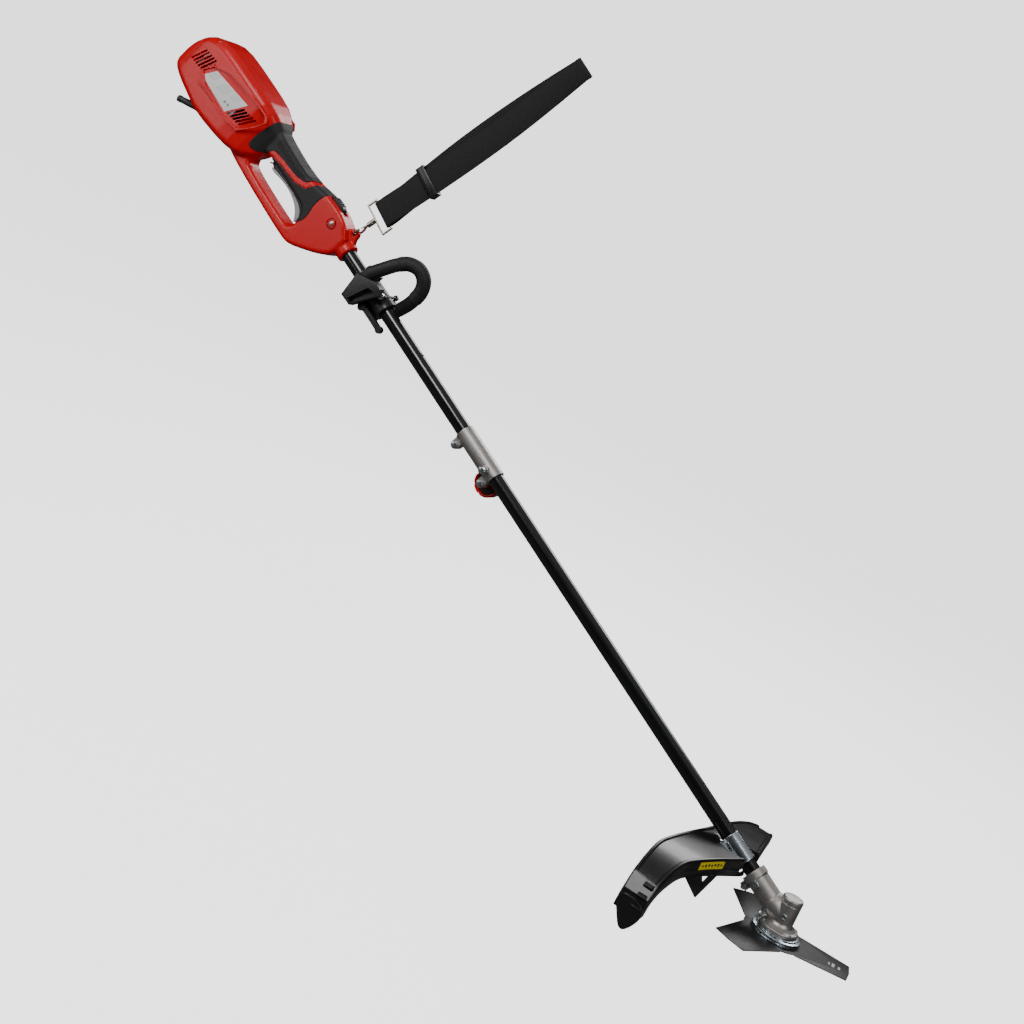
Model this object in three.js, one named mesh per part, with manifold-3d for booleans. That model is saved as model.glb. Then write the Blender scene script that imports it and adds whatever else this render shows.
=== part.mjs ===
// Electric straight-shaft trimmer with a three-tooth grass blade.
// Millimetres, +Z up. The blade lies level, the tube climbs backwards to the motor, and the origin is the
// centre of the flat end of the blade nut, which is the lowest point of the cutting head.
// Two frames are used. "head" is level, with its zero at the gearbox corner, where the tube axis meets the
// output axis. "tool" has the same zero and is turned so that +X runs forward along the tube.
import * as THREE from "three";
import { mergeVertices } from "three/addons/utils/BufferGeometryUtils.js";
import Module from "manifold-3d";

const wasm = await Module();
wasm.setup();

// ---------- driving dimensions ----------
const GAP = 0.3; // between touching pieces
const SLOPE = 26.6; // tube above the horizontal, degrees

const TUBE_R = 13;
const TUBE_WALL = 1.5;
const LOWER_TUBE = 834; // length of the lower tube
const UPPER_REACH = 439; // from the tube joint to the nose of the housing
const UPPER_SEAT = 78; // upper tube inside the housing
const SHAFT_R = 4; // drive shaft

const COLLAR_LENGTH = 84; // gearbox collar, from the gearbox corner back
const COLLAR_WALL = 5;
const TUBE_SEAT = 38; // lower tube inside the collar
const BARREL_R = 17.5; // upright barrel of the gearbox
const BARREL_TOP = 38; // above the gearbox corner
const FLANGE_R = 32;
const FLANGE_DROP = 20; // underside of the flange below the gearbox corner

const PLATE_T = 2; // fixed zinc plate
const DRUM_R = 41.7; // receiver drum over the blade
const DRUM_H = 7;
const BLADE_R = 127.5;
const BLADE_T = 1.6;
const BLADE_HUB_R = 54;
const CUP_R = 31;
const CUP_H = 8;
const NUT_H = 10;
const ARM_ANGLE = 12.5; // first tooth, degrees from straight ahead

const COUPLING_LENGTH = 98;
const COUPLING_WALL = 3;
const KNOB_R = 24;

const BODY_HALF = 45; // half the width of the motor housing
const GRIP_HALF = 21; // half the width of the rear handle
const SHELL = 3; // housing wall
const STATOR_R = 38;
const STATOR_LENGTH = 66;

const LOOP_R = 11; // D-handle tube
const LOOP_HEIGHT = 98; // D-handle above the tube axis
const SADDLE_LENGTH = 80;

const GUARD_T = 3;
const GUARD_HALF = 236; // reach of the guard to the right
const GUARD_TOP = 56; // top of the guard above the gearbox corner

const STRAP_WIDTH = 48;
const STRAP_LENGTH = 440;
const STRAP_T = 2.4;

// ---------- places that follow from them ----------
const PLATE_Z = -FLANGE_DROP - GAP; // top of the fixed plate
const DRUM_Z = PLATE_Z - PLATE_T - GAP; // top of the receiver drum
const BLADE_Z = DRUM_Z - DRUM_H - GAP; // top of the blade
const CUP_Z = BLADE_Z - BLADE_T - GAP; // top of the cup
const NUT_Z = CUP_Z - CUP_H - GAP; // top of the nut
const HEAD_HEIGHT = NUT_H - NUT_Z; // gearbox corner above the origin

const LOWER_FRONT = -(COLLAR_LENGTH - TUBE_SEAT); // front end of the lower tube
const JOINT_X = LOWER_FRONT - LOWER_TUBE; // back end of the lower tube
const UPPER_FRONT = JOINT_X - 5;
const NOSE_X = UPPER_FRONT - UPPER_REACH; // nose of the housing
const UPPER_BACK = NOSE_X - UPPER_SEAT;
const BORE_R = TUBE_R + GAP; // any hole that holds the tube
const PINCH_Z = -BORE_R - COLLAR_WALL - 5; // pinch screw of the gearbox collar
const COUPLING_R = BORE_R + COUPLING_WALL;

// ---------- materials ----------
const finish = (color, roughness, metalness = 0) => new THREE.MeshStandardMaterial({ color, roughness, metalness });
const RED = finish(0xd8141c, 0.35);
const BLACK_RUBBER = finish(0x161616, 0.85);
const BLACK_PLASTIC = finish(0x1a1b1c, 0.55);
const GLOSS_BLACK = finish(0x0c0c0d, 0.15);
const PAINTED_TUBE = finish(0x0b0b0b, 0.2, 0.3);
const CAST_ALUMINIUM = finish(0x9d948e, 0.5, 0.9);
const ZINC = finish(0xb9c4c8, 0.3, 1);
const BLADE_STEEL = finish(0x1d1b1a, 0.45, 0.6);
const STEEL = finish(0x8c8f92, 0.35, 1);
const NICKEL = finish(0xa79b8a, 0.3, 1);
const GREY_PLASTIC = finish(0xb9bbbd, 0.45);
const COPPER = finish(0xa8683c, 0.4, 0.9);
const WEBBING = finish(0x17181a, 0.95);

// ---------- solids ----------
const rad = THREE.MathUtils.degToRad;

function solid(geometry) {
  const bare = geometry.clone();
  bare.deleteAttribute("normal");
  bare.deleteAttribute("uv");
  const merged = mergeVertices(bare, 1e-4);
  const vertProperties = new Float32Array(merged.attributes.position.array);
  const triVerts = new Uint32Array(merged.index.array);
  return new wasm.Manifold(new wasm.Mesh({ numProp: 3, vertProperties, triVerts }));
}

// Turns about X, then Y, then Z, in degrees, and moves.
function place(geometry, { at = [0, 0, 0], turn = [0, 0, 0] } = {}) {
  const angles = new THREE.Euler(rad(turn[0]), rad(turn[1]), rad(turn[2]), "ZYX");
  const matrix = new THREE.Matrix4().makeRotationFromEuler(angles).setPosition(...at);
  return solid(geometry.clone().applyMatrix4(matrix));
}

const box = (low, high) =>
  place(new THREE.BoxGeometry(high[0] - low[0], high[1] - low[1], high[2] - low[2]), {
    at: low.map((v, i) => (v + high[i]) / 2),
  });

// A round bar from one X to another, its axis parallel to X.
const barX = (r, from, to, sides = 24, y = 0, z = 0, r2 = r) =>
  place(new THREE.CylinderGeometry(r2, r, Math.abs(to - from), sides), {
    at: [(from + to) / 2, y, z],
    turn: [0, 0, -90],
  });

const barY = (r, from, to, x, z, sides = 16, r2 = r) =>
  place(new THREE.CylinderGeometry(r2, r, Math.abs(to - from), sides), { at: [x, (from + to) / 2, z] });

const barZ = (r, from, to, sides = 24, x = 0, y = 0, r2 = r) =>
  place(new THREE.CylinderGeometry(r2, r, Math.abs(to - from), sides), {
    at: [x, y, (from + to) / 2],
    turn: [90, 0, 0],
  });

const pipeX = (outer, inner, from, to, sides = 24) =>
  barX(outer, from, to, sides).subtract(barX(inner, from - 1, to + 1, sides));

const union = (first, ...rest) => rest.reduce((sum, piece) => sum.add(piece), first);
const cut = (body, ...tools) => tools.reduce((rest, tool) => rest.subtract(tool), body);

function outline(points) {
  return new THREE.Shape(points.map(([x, y]) => new THREE.Vector2(x, y)));
}

// An outline in X and Z, given depth along Y, centred on y, with rounded long edges.
function sideProfile(points, half, bevel = 0, y = 0) {
  const depth = 2 * (half - bevel);
  const geometry = new THREE.ExtrudeGeometry(outline(points), {
    depth,
    curveSegments: 6,
    bevelEnabled: bevel > 0,
    bevelSize: bevel,
    bevelThickness: bevel,
    bevelOffset: -bevel,
    bevelSegments: 2,
  });
  return place(geometry.translate(0, 0, -depth / 2), { at: [0, y, 0], turn: [90, 0, 0] });
}

function node(name, body, material) {
  const mesh = body.getMesh();
  const geometry = new THREE.BufferGeometry();
  const count = mesh.numVert;
  const positions = new Float32Array(count * 3);
  for (let i = 0; i < count; i++) {
    positions.set(mesh.vertProperties.subarray(i * mesh.numProp, i * mesh.numProp + 3), i * 3);
  }
  geometry.setAttribute("position", new THREE.BufferAttribute(positions, 3));
  geometry.setIndex(new THREE.BufferAttribute(new Uint32Array(mesh.triVerts), 1));
  geometry.computeVertexNormals();
  const made = new THREE.Mesh(geometry, material);
  made.name = name;
  return made;
}

// A toothed cone, its apex at the zero point, opening along -Z. Phase turns it, in teeth.
function bevelGear(outerCone, face, halfAngle, teeth, depth, phase = 0) {
  const steep = rad(halfAngle);
  const inner = outerCone - face;
  const profile = [
    [0, -inner * Math.cos(steep)],
    [inner * Math.sin(steep), -inner * Math.cos(steep)],
    [outerCone * Math.sin(steep), -outerCone * Math.cos(steep)],
    [outerCone * Math.sin(steep) - 1.5, -outerCone * Math.cos(steep) - 3.5],
    [0, -outerCone * Math.cos(steep) - 3.5],
  ];
  const lathe = new THREE.LatheGeometry(
    profile.map(([r, z]) => new THREE.Vector2(r, -z)),
    2 * teeth,
  );
  let gear = place(lathe, { turn: [-90, 0, 0] });
  const width = (Math.PI * outerCone * Math.sin(steep)) / teeth;
  for (let i = 0; i < teeth; i++) {
    const notch = new THREE.BoxGeometry(width * 1.25, depth * 2, 3 * face);
    notch.translate(0, 0, -(inner + face / 2));
    notch.rotateX(-steep);
    notch.rotateZ((2 * Math.PI * (i + phase)) / teeth);
    gear = gear.subtract(solid(notch));
  }
  return gear;
}

// ---------- housing ----------
// Points are [behind the nose, height above the tube axis].
const fromNose = (points) => points.map(([x, z]) => [NOSE_X + x, z]);
const MOTOR_SIDE = fromNose([
  [-471, -40], [-470, 4], [-462, 24], [-445, 37], [-415, 44], [-341, 46], [-289, 46], [-261, 41], [-236, 30],
  [-236, -22], [-244, -52], [-262, -66], [-300, -73], [-366, -88], [-378, -90], [-388, -78], [-405, -74],
  [-455, -62], [-466, -56],
]);
const HANDLE_SIDE = fromNose([
  [-300, 30], [-228, 26], [-180, 23], [-138, 24], [-107, 30], [-86, 35], [-50, 37], [-25, 32], [-14, 22], [0, 18],
  [0, -17], [-12, -32], [-29, -46], [-58, -68], [-75, -78], [-92, -81], [-195, -79], [-283, -73], [-300, -60],
]);
const OPENING_SIDE = fromNose([
  [-232, -16], [-214, -13], [-112, -14], [-98, -24], [-94, -44], [-101, -55], [-112, -57], [-230, -56], [-239, -50],
  [-239, -24],
]);
const insetTo = (points, wall) => {
  const middle = points.reduce((sum, p) => [sum[0] + p[0] / points.length, sum[1] + p[1] / points.length], [0, 0]);
  const reach = Math.max(...points.map((p) => Math.abs(p[0] - middle[0])));
  const rise = Math.max(...points.map((p) => Math.abs(p[1] - middle[1])));
  return points.map(([x, z]) => [
    middle[0] + (x - middle[0]) * (1 - wall / reach),
    middle[1] + (z - middle[1]) * (1 - wall / rise),
  ]);
};
const CAP_X = NOSE_X - 452; // seam between the shells and the rear cap
const MOTOR_BACK = NOSE_X - 432;
const STATOR_BACK = MOTOR_BACK + 14;
const STATOR_FRONT = STATOR_BACK + STATOR_LENGTH;
const FAN_X = STATOR_FRONT + 10;
const MOTOR_FRONT = FAN_X + 22;

const TRIGGER_SIDE = fromNose([
  [-215, -18], [-206, -27], [-190, -28], [-165, -22], [-140, -23], [-118, -30], [-106, -42], [-102, -49],
  [-99, -46], [-101, -30], [-112, -17], [-160, -14.5], [-206, -14],
]);
const TRIGGER_HALF = 8;
const TRIGGER_PIVOT = [NOSE_X - 208, -20];
const TRIGGER_PIN_R = 1.5;
const BUTTON_HALF = 6.5;
const BUTTON_BACK = NOSE_X - 86;
const BUTTON_LENGTH = 36;
const BUTTON_TRAVEL = 5;
const BUTTON_FLOOR = 27;
const EYE = [NOSE_X - 9, 31]; // strap eyelet
const EYE_R = 4;

const PANEL_SLOTS = 5;
const SLOT_PITCH = 8.5;
const SLOT_WIDTH = 3.4;

function housing() {
  const outer = union(
    sideProfile(MOTOR_SIDE, BODY_HALF, 9),
    sideProfile(HANDLE_SIDE, GRIP_HALF, 7),
    barX(TUBE_R + 6, NOSE_X - 40, NOSE_X + 12, 28),
    barY(EYE_R + 5.5, -5, 5, EYE[0], EYE[1], 20),
    box([EYE[0] - 14, -5, 0], [EYE[0] + 8, 5, EYE[1] - 4]),
  );
  const motorRoom = sideProfile(insetTo(MOTOR_SIDE, SHELL), BODY_HALF - SHELL, 6);
  const gripRoom = box([NOSE_X - 246, 3 - GRIP_HALF, -10.5], [NOSE_X - 92, GRIP_HALF - 3, 19]);
  const noseRoom = box([NOSE_X - 93, 3 - GRIP_HALF, -30], [NOSE_X - 62, GRIP_HALF - 3, 24]);
  let shell = cut(
    outer,
    sideProfile(OPENING_SIDE, GRIP_HALF + 30),
    motorRoom,
    gripRoom,
    noseRoom,
    barX(BORE_R, NOSE_X - UPPER_SEAT - 6, NOSE_X + 20, 24),
    barY(EYE_R, -9, 9, EYE[0], EYE[1], 16),
    box([NOSE_X - 218, -TRIGGER_HALF - 0.5, -60], [NOSE_X - 92, TRIGGER_HALF + 0.5, -9]),
    box([BUTTON_BACK - 1, -BUTTON_HALF - 0.5, BUTTON_FLOOR - 0.5],
      [BUTTON_BACK + BUTTON_LENGTH + BUTTON_TRAVEL + 1, BUTTON_HALF + 0.5, 60]),
    barY(TRIGGER_PIN_R + GAP, -GRIP_HALF - 1, GRIP_HALF + 1, ...TRIGGER_PIVOT, 12),
  );
  for (const side of [-1, 1]) {
    for (let i = 0; i < PANEL_SLOTS; i++) {
      const rear = NOSE_X - 441 + i * SLOT_PITCH;
      const front = NOSE_X - 313 + i * SLOT_PITCH;
      const wall = side * BODY_HALF;
      shell = cut(
        shell,
        box([rear, wall - 5, -24 + i], [rear + SLOT_WIDTH, wall + 5, 10 + i]),
        box([front, wall - 5, -26], [front + SLOT_WIDTH, wall + 5, 10]),
      );
    }
  }
  return shell;
}

// ---------- head pieces, in the level frame ----------
const SPINDLE_R = 3.5;
const CROWN_TEETH = 17;
const PINION_TEETH = 12;
const CONE = 13.4; // outer cone distance of both gears
const SHAFT_ANGLE = 90 + SLOPE;
const GEAR_RATIO = CROWN_TEETH / PINION_TEETH;
const PINION_CONE =
  (Math.atan2(Math.sin(rad(SHAFT_ANGLE)), GEAR_RATIO + Math.cos(rad(SHAFT_ANGLE))) * 180) / Math.PI;
const CROWN_CONE = SHAFT_ANGLE - PINION_CONE;
const CROWN_PHASE = -0.25; // puts a tooth of the crown against a gap of the pinion
const MESH_GAP = 2.8; // each gear cone is this many degrees slimmer, so that the teeth run clear
const CAVITY_R = BARREL_R - 3;
const BEARING_H = 7;

function headParts(tilt) {
  const g = new THREE.Group();
  const toLevel = (body) => body.transform(tilt.elements);

  // Casting: collar on the tube, upright barrel, neck and flange.
  const collar = toLevel(
    union(
      barX(BORE_R + COLLAR_WALL, -COLLAR_LENGTH, -30, 28),
      barX(BORE_R + COLLAR_WALL, -30, 2, 28, 0, 0, 13),
      barX(BORE_R + COLLAR_WALL + 1.5, -COLLAR_LENGTH, -COLLAR_LENGTH + 13, 28),
      box([-COLLAR_LENGTH, -8, -BORE_R - COLLAR_WALL - 11], [-COLLAR_LENGTH + 20, 8, -BORE_R]),
    ),
  );
  const tubeHole = toLevel(
    union(
      barX(BORE_R, -COLLAR_LENGTH - 1, LOWER_FRONT + GAP, 28),
      barX(11.3, LOWER_FRONT, -5, 24),
      box([-COLLAR_LENGTH - 1, -1, -40], [LOWER_FRONT - 8, 1, 0]),
      barY(2.3, -12, 12, -COLLAR_LENGTH + 11, PINCH_Z, 12),
      barY(2.8, -30, -BORE_R + 2, -COLLAR_LENGTH + 20, 0, 12),
    ),
  );
  const casting = cut(
    union(
      collar,
      barZ(BARREL_R, -FLANGE_DROP, BARREL_TOP - 6, 32),
      barZ(BARREL_R, BARREL_TOP - 6, BARREL_TOP - 1.5, 32, 0, 0, BARREL_R - 2),
      barZ(BARREL_R - 2, BARREL_TOP - 1.5, BARREL_TOP, 32, 0, 0, BARREL_R - 5),
      barZ(FLANGE_R, -FLANGE_DROP, -FLANGE_DROP + 6, 36),
      barZ(FLANGE_R, -FLANGE_DROP + 6, -FLANGE_DROP + 13, 36, 0, 0, BARREL_R),
    ),
    barZ(CAVITY_R, -FLANGE_DROP - 1, 17, 28),
    barZ(11 + GAP, 16, BARREL_TOP - 8, 24),
    tubeHole,
    barZ(DRUM_R + 1, -3 * FLANGE_DROP, -FLANGE_DROP, 36), // the underside is turned flat for the plate
    place(new THREE.CylinderGeometry(3.3, 3.3, 12, 12), { at: [3, -BARREL_R + 1, 8] }),
  );
  g.add(node("gearbox_casting", casting, CAST_ALUMINIUM));

  const plug = union(
    place(new THREE.CylinderGeometry(3, 3, 5, 12), { at: [3, -BARREL_R + 1, 8] }),
    place(new THREE.CylinderGeometry(4.6, 4.6, 3, 6), { at: [3, -BARREL_R - 3, 8] }),
  );
  g.add(node("grease_plug", plug.translate([0, -0.3, 0]), ZINC));

  const upperBearing = cut(barZ(11, 20, 20 + BEARING_H, 24), barZ(SPINDLE_R + GAP, 19, 28, 16));
  g.add(node("spindle_upper_bearing", upperBearing, STEEL));
  const lowerBearing = cut(
    barZ(CAVITY_R - GAP, -FLANGE_DROP + 1, -FLANGE_DROP + 1 + BEARING_H, 28),
    barZ(6 + GAP, -FLANGE_DROP, -FLANGE_DROP + 9, 16),
  );
  g.add(node("spindle_lower_bearing", lowerBearing, STEEL));

  // Fixed plate under the flange with its upright tab at the back.
  const tabZ = -TUBE_R - 2; // keeps the tab's round top under the tube's collar
  const tabDisc = new THREE.CylinderGeometry(10, 10, PLATE_T, 24);
  const tab = place(tabDisc, { at: [-FLANGE_R - 3, 0, tabZ], turn: [0, 0, 90] });
  const tabBase = box([-FLANGE_R - 4, -10, -FLANGE_DROP - GAP - PLATE_T], [-FLANGE_R - 2, 10, tabZ]);
  const plate = cut(
    union(
      barZ(FLANGE_R + 4, PLATE_Z - PLATE_T, PLATE_Z, 36),
      tab.intersect(box([-60, -20, PLATE_Z - PLATE_T], [0, 20, 10])),
      tabBase,
    ),
    barZ(15, -60, 0, 24),
  );
  g.add(node("shield_plate", plate, ZINC));

  // Turning stack.
  const crown = bevelGear(CONE, 5, CROWN_CONE - MESH_GAP, CROWN_TEETH, 0.9, CROWN_PHASE);
  const spindle = union(
    barZ(SPINDLE_R, -9, 27, 16),
    barZ(6, NUT_Z - NUT_H + 2, -8.4, 16),
  );
  g.add(node("output_spindle", union(spindle, crown), STEEL));
  const drum = cut(
    barZ(DRUM_R, DRUM_Z - DRUM_H, DRUM_Z, 48),
    barZ(6 + GAP, -60, 0, 16),
    barZ(DRUM_R - 3, DRUM_Z - 4, DRUM_Z + 1, 40),
    place(new THREE.CylinderGeometry(2.6, 2.6, 16, 10), { at: [6, -DRUM_R, DRUM_Z - DRUM_H / 2] }),
  );
  g.add(node("receiver_drum", drum, ZINC));

  const TIP_HALF = 29;
  const ROOT_HALF = 41;
  const toothRoot = Math.sqrt(BLADE_HUB_R ** 2 - 20 ** 2) - 12;
  let blade = barZ(BLADE_HUB_R, BLADE_Z - BLADE_T, BLADE_Z, 48);
  const toothEnd = Math.sqrt(BLADE_R ** 2 - TIP_HALF ** 2);
  for (let i = 0; i < 3; i++) {
    const tooth = new THREE.ExtrudeGeometry(
      outline([
        [toothRoot, -ROOT_HALF], [toothEnd, -TIP_HALF], [BLADE_R - 1, 0], [toothEnd, TIP_HALF], [toothRoot, ROOT_HALF],
        [0, 0],
      ]),
      { depth: BLADE_T, bevelEnabled: false },
    );
    tooth.rotateZ(rad(ARM_ANGLE + 120 * i));
    tooth.translate(0, 0, BLADE_Z - BLADE_T);
    blade = blade.add(solid(tooth));
  }
  g.add(node("grass_blade", blade.subtract(barZ(6 + GAP, -60, 0, 16)), BLADE_STEEL));

  const cup = cut(
    union(
      barZ(CUP_R, CUP_Z - 4, CUP_Z, 40),
      barZ(CUP_R - 8, CUP_Z - CUP_H, CUP_Z - 4, 40, 0, 0, CUP_R),
    ),
    barZ(6 + GAP, -80, 0, 16),
  );
  g.add(node("blade_cup", cup, BLACK_PLASTIC));
  const nut = cut(
    union(barZ(11, NUT_Z - NUT_H, NUT_Z - 2, 6), barZ(13, NUT_Z - 2, NUT_Z, 24)),
    barZ(6 + GAP, NUT_Z - NUT_H + 1.5, 0, 16),
  );
  g.add(node("blade_nut", nut, ZINC));
  return g;
}

// ---------- guard, in the level frame ----------
const CLAMP_FRONT = -COLLAR_LENGTH - 12;
const CLAMP_BACK = CLAMP_FRONT - 54;
const CLAMP_SCREW_X = (CLAMP_FRONT + CLAMP_BACK) / 2;
const CLAMP_SCREW_Y = [-TUBE_R - 8.5, TUBE_R + 8.5];
const clampScrewHole = (y) => barZ(2.4, -TUBE_R - 30, TUBE_R, 10, CLAMP_SCREW_X, y);
const COLLAR_CLEAR = BORE_R + COLLAR_WALL + 3; // half the room round the gearbox collar
const PINCH_DROP = -PINCH_Z + 8; // room under the pinch screw
const GUARD_ARCH = [
  [190, GUARD_TOP - 16], [150, GUARD_TOP - 7], [60, GUARD_TOP], [-70, GUARD_TOP], [-140, GUARD_TOP - 6],
  [-GUARD_HALF + 52, GUARD_TOP - 18], [-GUARD_HALF + 24, GUARD_TOP - 36], [-GUARD_HALF + 6, GUARD_TOP - 62],
  [-GUARD_HALF, GUARD_TOP - 92],
];
const GUARD_BACK = 190;
const GUARD_PLAN = [
  [-80, -10], [-140, -150], [-150, -GUARD_HALF - 8], [-GUARD_BACK, -GUARD_HALF - 8], [-GUARD_BACK - 6, -140],
  [-172, 0], [-158, 120], [-140, 200], [-112, 200], [-80, 10],
];
const FRONT_BAND = [
  [-80, -10], [-140, -150], [-150, -GUARD_HALF - 8], [-154, -GUARD_HALF - 8], [-144, -150], [-84, -10],
  [-84, 10], [-116, 200], [-112, 200], [-80, 10],
];
const SKIRT_DROP = 118; // tip of the skirt below the top of the guard

// The band between the arch and a copy of it moved inwards, in Y and Z, given length along X.
function archBand(depth, inset = 0) {
  const inner = (by) =>
    GUARD_ARCH.map(([y, z], i) => {
      const a = GUARD_ARCH[Math.max(i - 1, 0)];
      const b = GUARD_ARCH[Math.min(i + 1, GUARD_ARCH.length - 1)];
      const length = Math.hypot(b[0] - a[0], b[1] - a[1]);
      return [y + ((a[1] - b[1]) / length) * by, z - ((a[0] - b[0]) / length) * by];
    });
  const points = [...inner(inset), ...inner(inset + depth).reverse()];
  const geometry = new THREE.ExtrudeGeometry(outline(points), { depth: 260, bevelEnabled: false });
  return place(geometry, { at: [-260, 0, 0], turn: [90, 0, 90] });
}

function planBlock(points) {
  const geometry = new THREE.ExtrudeGeometry(outline(points), { depth: 300, bevelEnabled: false });
  return solid(geometry.translate(0, 0, -150));
}

function guardParts(tilt) {
  const g = new THREE.Group();
  const toLevel = (body) => body.transform(tilt.elements);
  const roof = archBand(GUARD_T).intersect(planBlock(GUARD_PLAN));
  const front = archBand(30).intersect(planBlock(FRONT_BAND));
  const seat = toLevel(
    box([CLAMP_BACK, -28, -TUBE_R - 16], [CLAMP_FRONT - 4, 28, -TUBE_R + 2.7]),
  );
  const way = TUBE_R + 3.5;
  const tubeWay = toLevel(
    union(
      barX(way, -300, 0, 24),
      box([-300, -way, 0], [0, way, 200]),
      box([CLAMP_BACK - 2, -29, -TUBE_R + 2.7], [CLAMP_FRONT + 2, 29, 200]),
      box([-COLLAR_LENGTH - 3, -COLLAR_CLEAR, -PINCH_DROP], [20, COLLAR_CLEAR, 200]),
    ),
  );
  const shell = cut(union(roof, front, seat), tubeWay, ...CLAMP_SCREW_Y.map((y) => toLevel(clampScrewHole(y))));
  g.add(node("guard_shell", shell, GLOSS_BLACK));

  const skirtPlan = [
    [-146, -GUARD_HALF + 40], [-146, -GUARD_HALF - 30], [-GUARD_BACK - 4, -GUARD_HALF - 30],
    [-GUARD_BACK - 4, -GUARD_HALF + 40],
  ];
  const skirtSide = [
    [-146, GUARD_TOP - 40], [-GUARD_BACK, GUARD_TOP - 36], [-GUARD_BACK + 4, GUARD_TOP - 84],
    [-150, GUARD_TOP - SKIRT_DROP], [-138, GUARD_TOP - SKIRT_DROP + 4],
  ];
  const flap = new THREE.ExtrudeGeometry(outline(skirtSide), { depth: 120, bevelEnabled: false });
  const flapBlock = place(flap, { at: [0, -GUARD_HALF + 60, 0], turn: [90, 0, 0] });
  const lowEdge = archBand(GUARD_T, -GUARD_T - GAP).intersect(planBlock(skirtPlan));
  const hanging = box(
    [-GUARD_BACK - 4, -GUARD_HALF - GUARD_T - GAP - 2.2, GUARD_TOP - SKIRT_DROP],
    [-138, -GUARD_HALF - GAP - 1.4, GUARD_TOP - 90],
  );
  g.add(node("guard_skirt", union(lowEdge, hanging).intersect(flapBlock), GLOSS_BLACK));

  // Line cutter bracket: a bent triangular plate with an opening, under the front of the guard.
  const slab = (points, depth, sink = 0) =>
    place(new THREE.ExtrudeGeometry(outline(points), { depth, bevelEnabled: false }).translate(0, 0, sink), {
      at: [-142, -128, GUARD_TOP - 24],
      turn: [90, 0, 68],
    });
  const frame = slab([[4, -12], [40, -40], [62, -6], [62, 6], [0, 0]], 2.5);
  const bracket = frame.subtract(slab([[30, -5], [40, -20], [50, -4]], 6, -2));
  g.add(node("line_cutter_bracket", bracket, BLACK_PLASTIC));
  return g;
}


// ---------- tool pieces, along the tube ----------
const LOWER_SHAFT_BEARING = 31;
function tubeParts(g) {
  const inner = TUBE_R - TUBE_WALL;
  g.add(node("lower_tube", pipeX(TUBE_R, inner, JOINT_X, LOWER_FRONT, 28), PAINTED_TUBE));
  const rivetX = UPPER_FRONT - 203;
  const upperTube = cut(
    pipeX(TUBE_R, inner, UPPER_BACK, UPPER_FRONT, 28),
    barZ(1.8 + GAP, 0, TUBE_R + 5, 10, rivetX),
  );
  g.add(node("upper_tube", upperTube, PAINTED_TUBE));
  const bushes = { liner_bush_lower: JOINT_X / 2, liner_bush_upper: (UPPER_FRONT + NOSE_X) / 2 };
  for (const [name, x] of Object.entries(bushes)) {
    g.add(node(name, pipeX(inner - GAP, SHAFT_R + GAP, x, x + 22, 16), BLACK_RUBBER));
  }

  // Drive train: rotor shaft to upper shaft to lower shaft to pinion.
  const shaftJoint = (JOINT_X + UPPER_FRONT) / 2;
  const socket = (x) => box([x, -2.3, -2.3], [x + 14, 2.3, 2.3]);
  const lowerShaft = cut(barX(SHAFT_R, shaftJoint + 8, -48, 12), socket(shaftJoint + 7));
  const pinionAxis = new THREE.Matrix4().makeRotationY(rad(90));
  const pinion = bevelGear(CONE, 5, PINION_CONE - MESH_GAP, PINION_TEETH, 0.9).transform(pinionAxis.elements);
  const lowerDrive = union(lowerShaft, barX(5, -49, -12, 16), pinion);
  g.add(node("lower_drive_shaft", lowerDrive, STEEL));
  const upperDrive = union(
    barX(SHAFT_R, NOSE_X - 290, shaftJoint + 7.5, 12),
    box([shaftJoint + 7, -2, -2], [shaftJoint + 19, 2, 2]),
  );
  g.add(node("upper_drive_shaft", upperDrive, STEEL));
  const bearing = cut(barX(11, -LOWER_SHAFT_BEARING - 8, -LOWER_SHAFT_BEARING, 24), barX(5 + GAP, -60, 0, 16));
  g.add(node("pinion_bearing", bearing, STEEL));

  const rivet = union(
    barZ(3.5, TUBE_R + GAP, TUBE_R + 2, 12, rivetX),
    barZ(1.8, TUBE_R - TUBE_WALL + 0.2, TUBE_R + 1, 10, rivetX),
  );
  g.add(node("tube_rivet", rivet, NICKEL));
}

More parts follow.
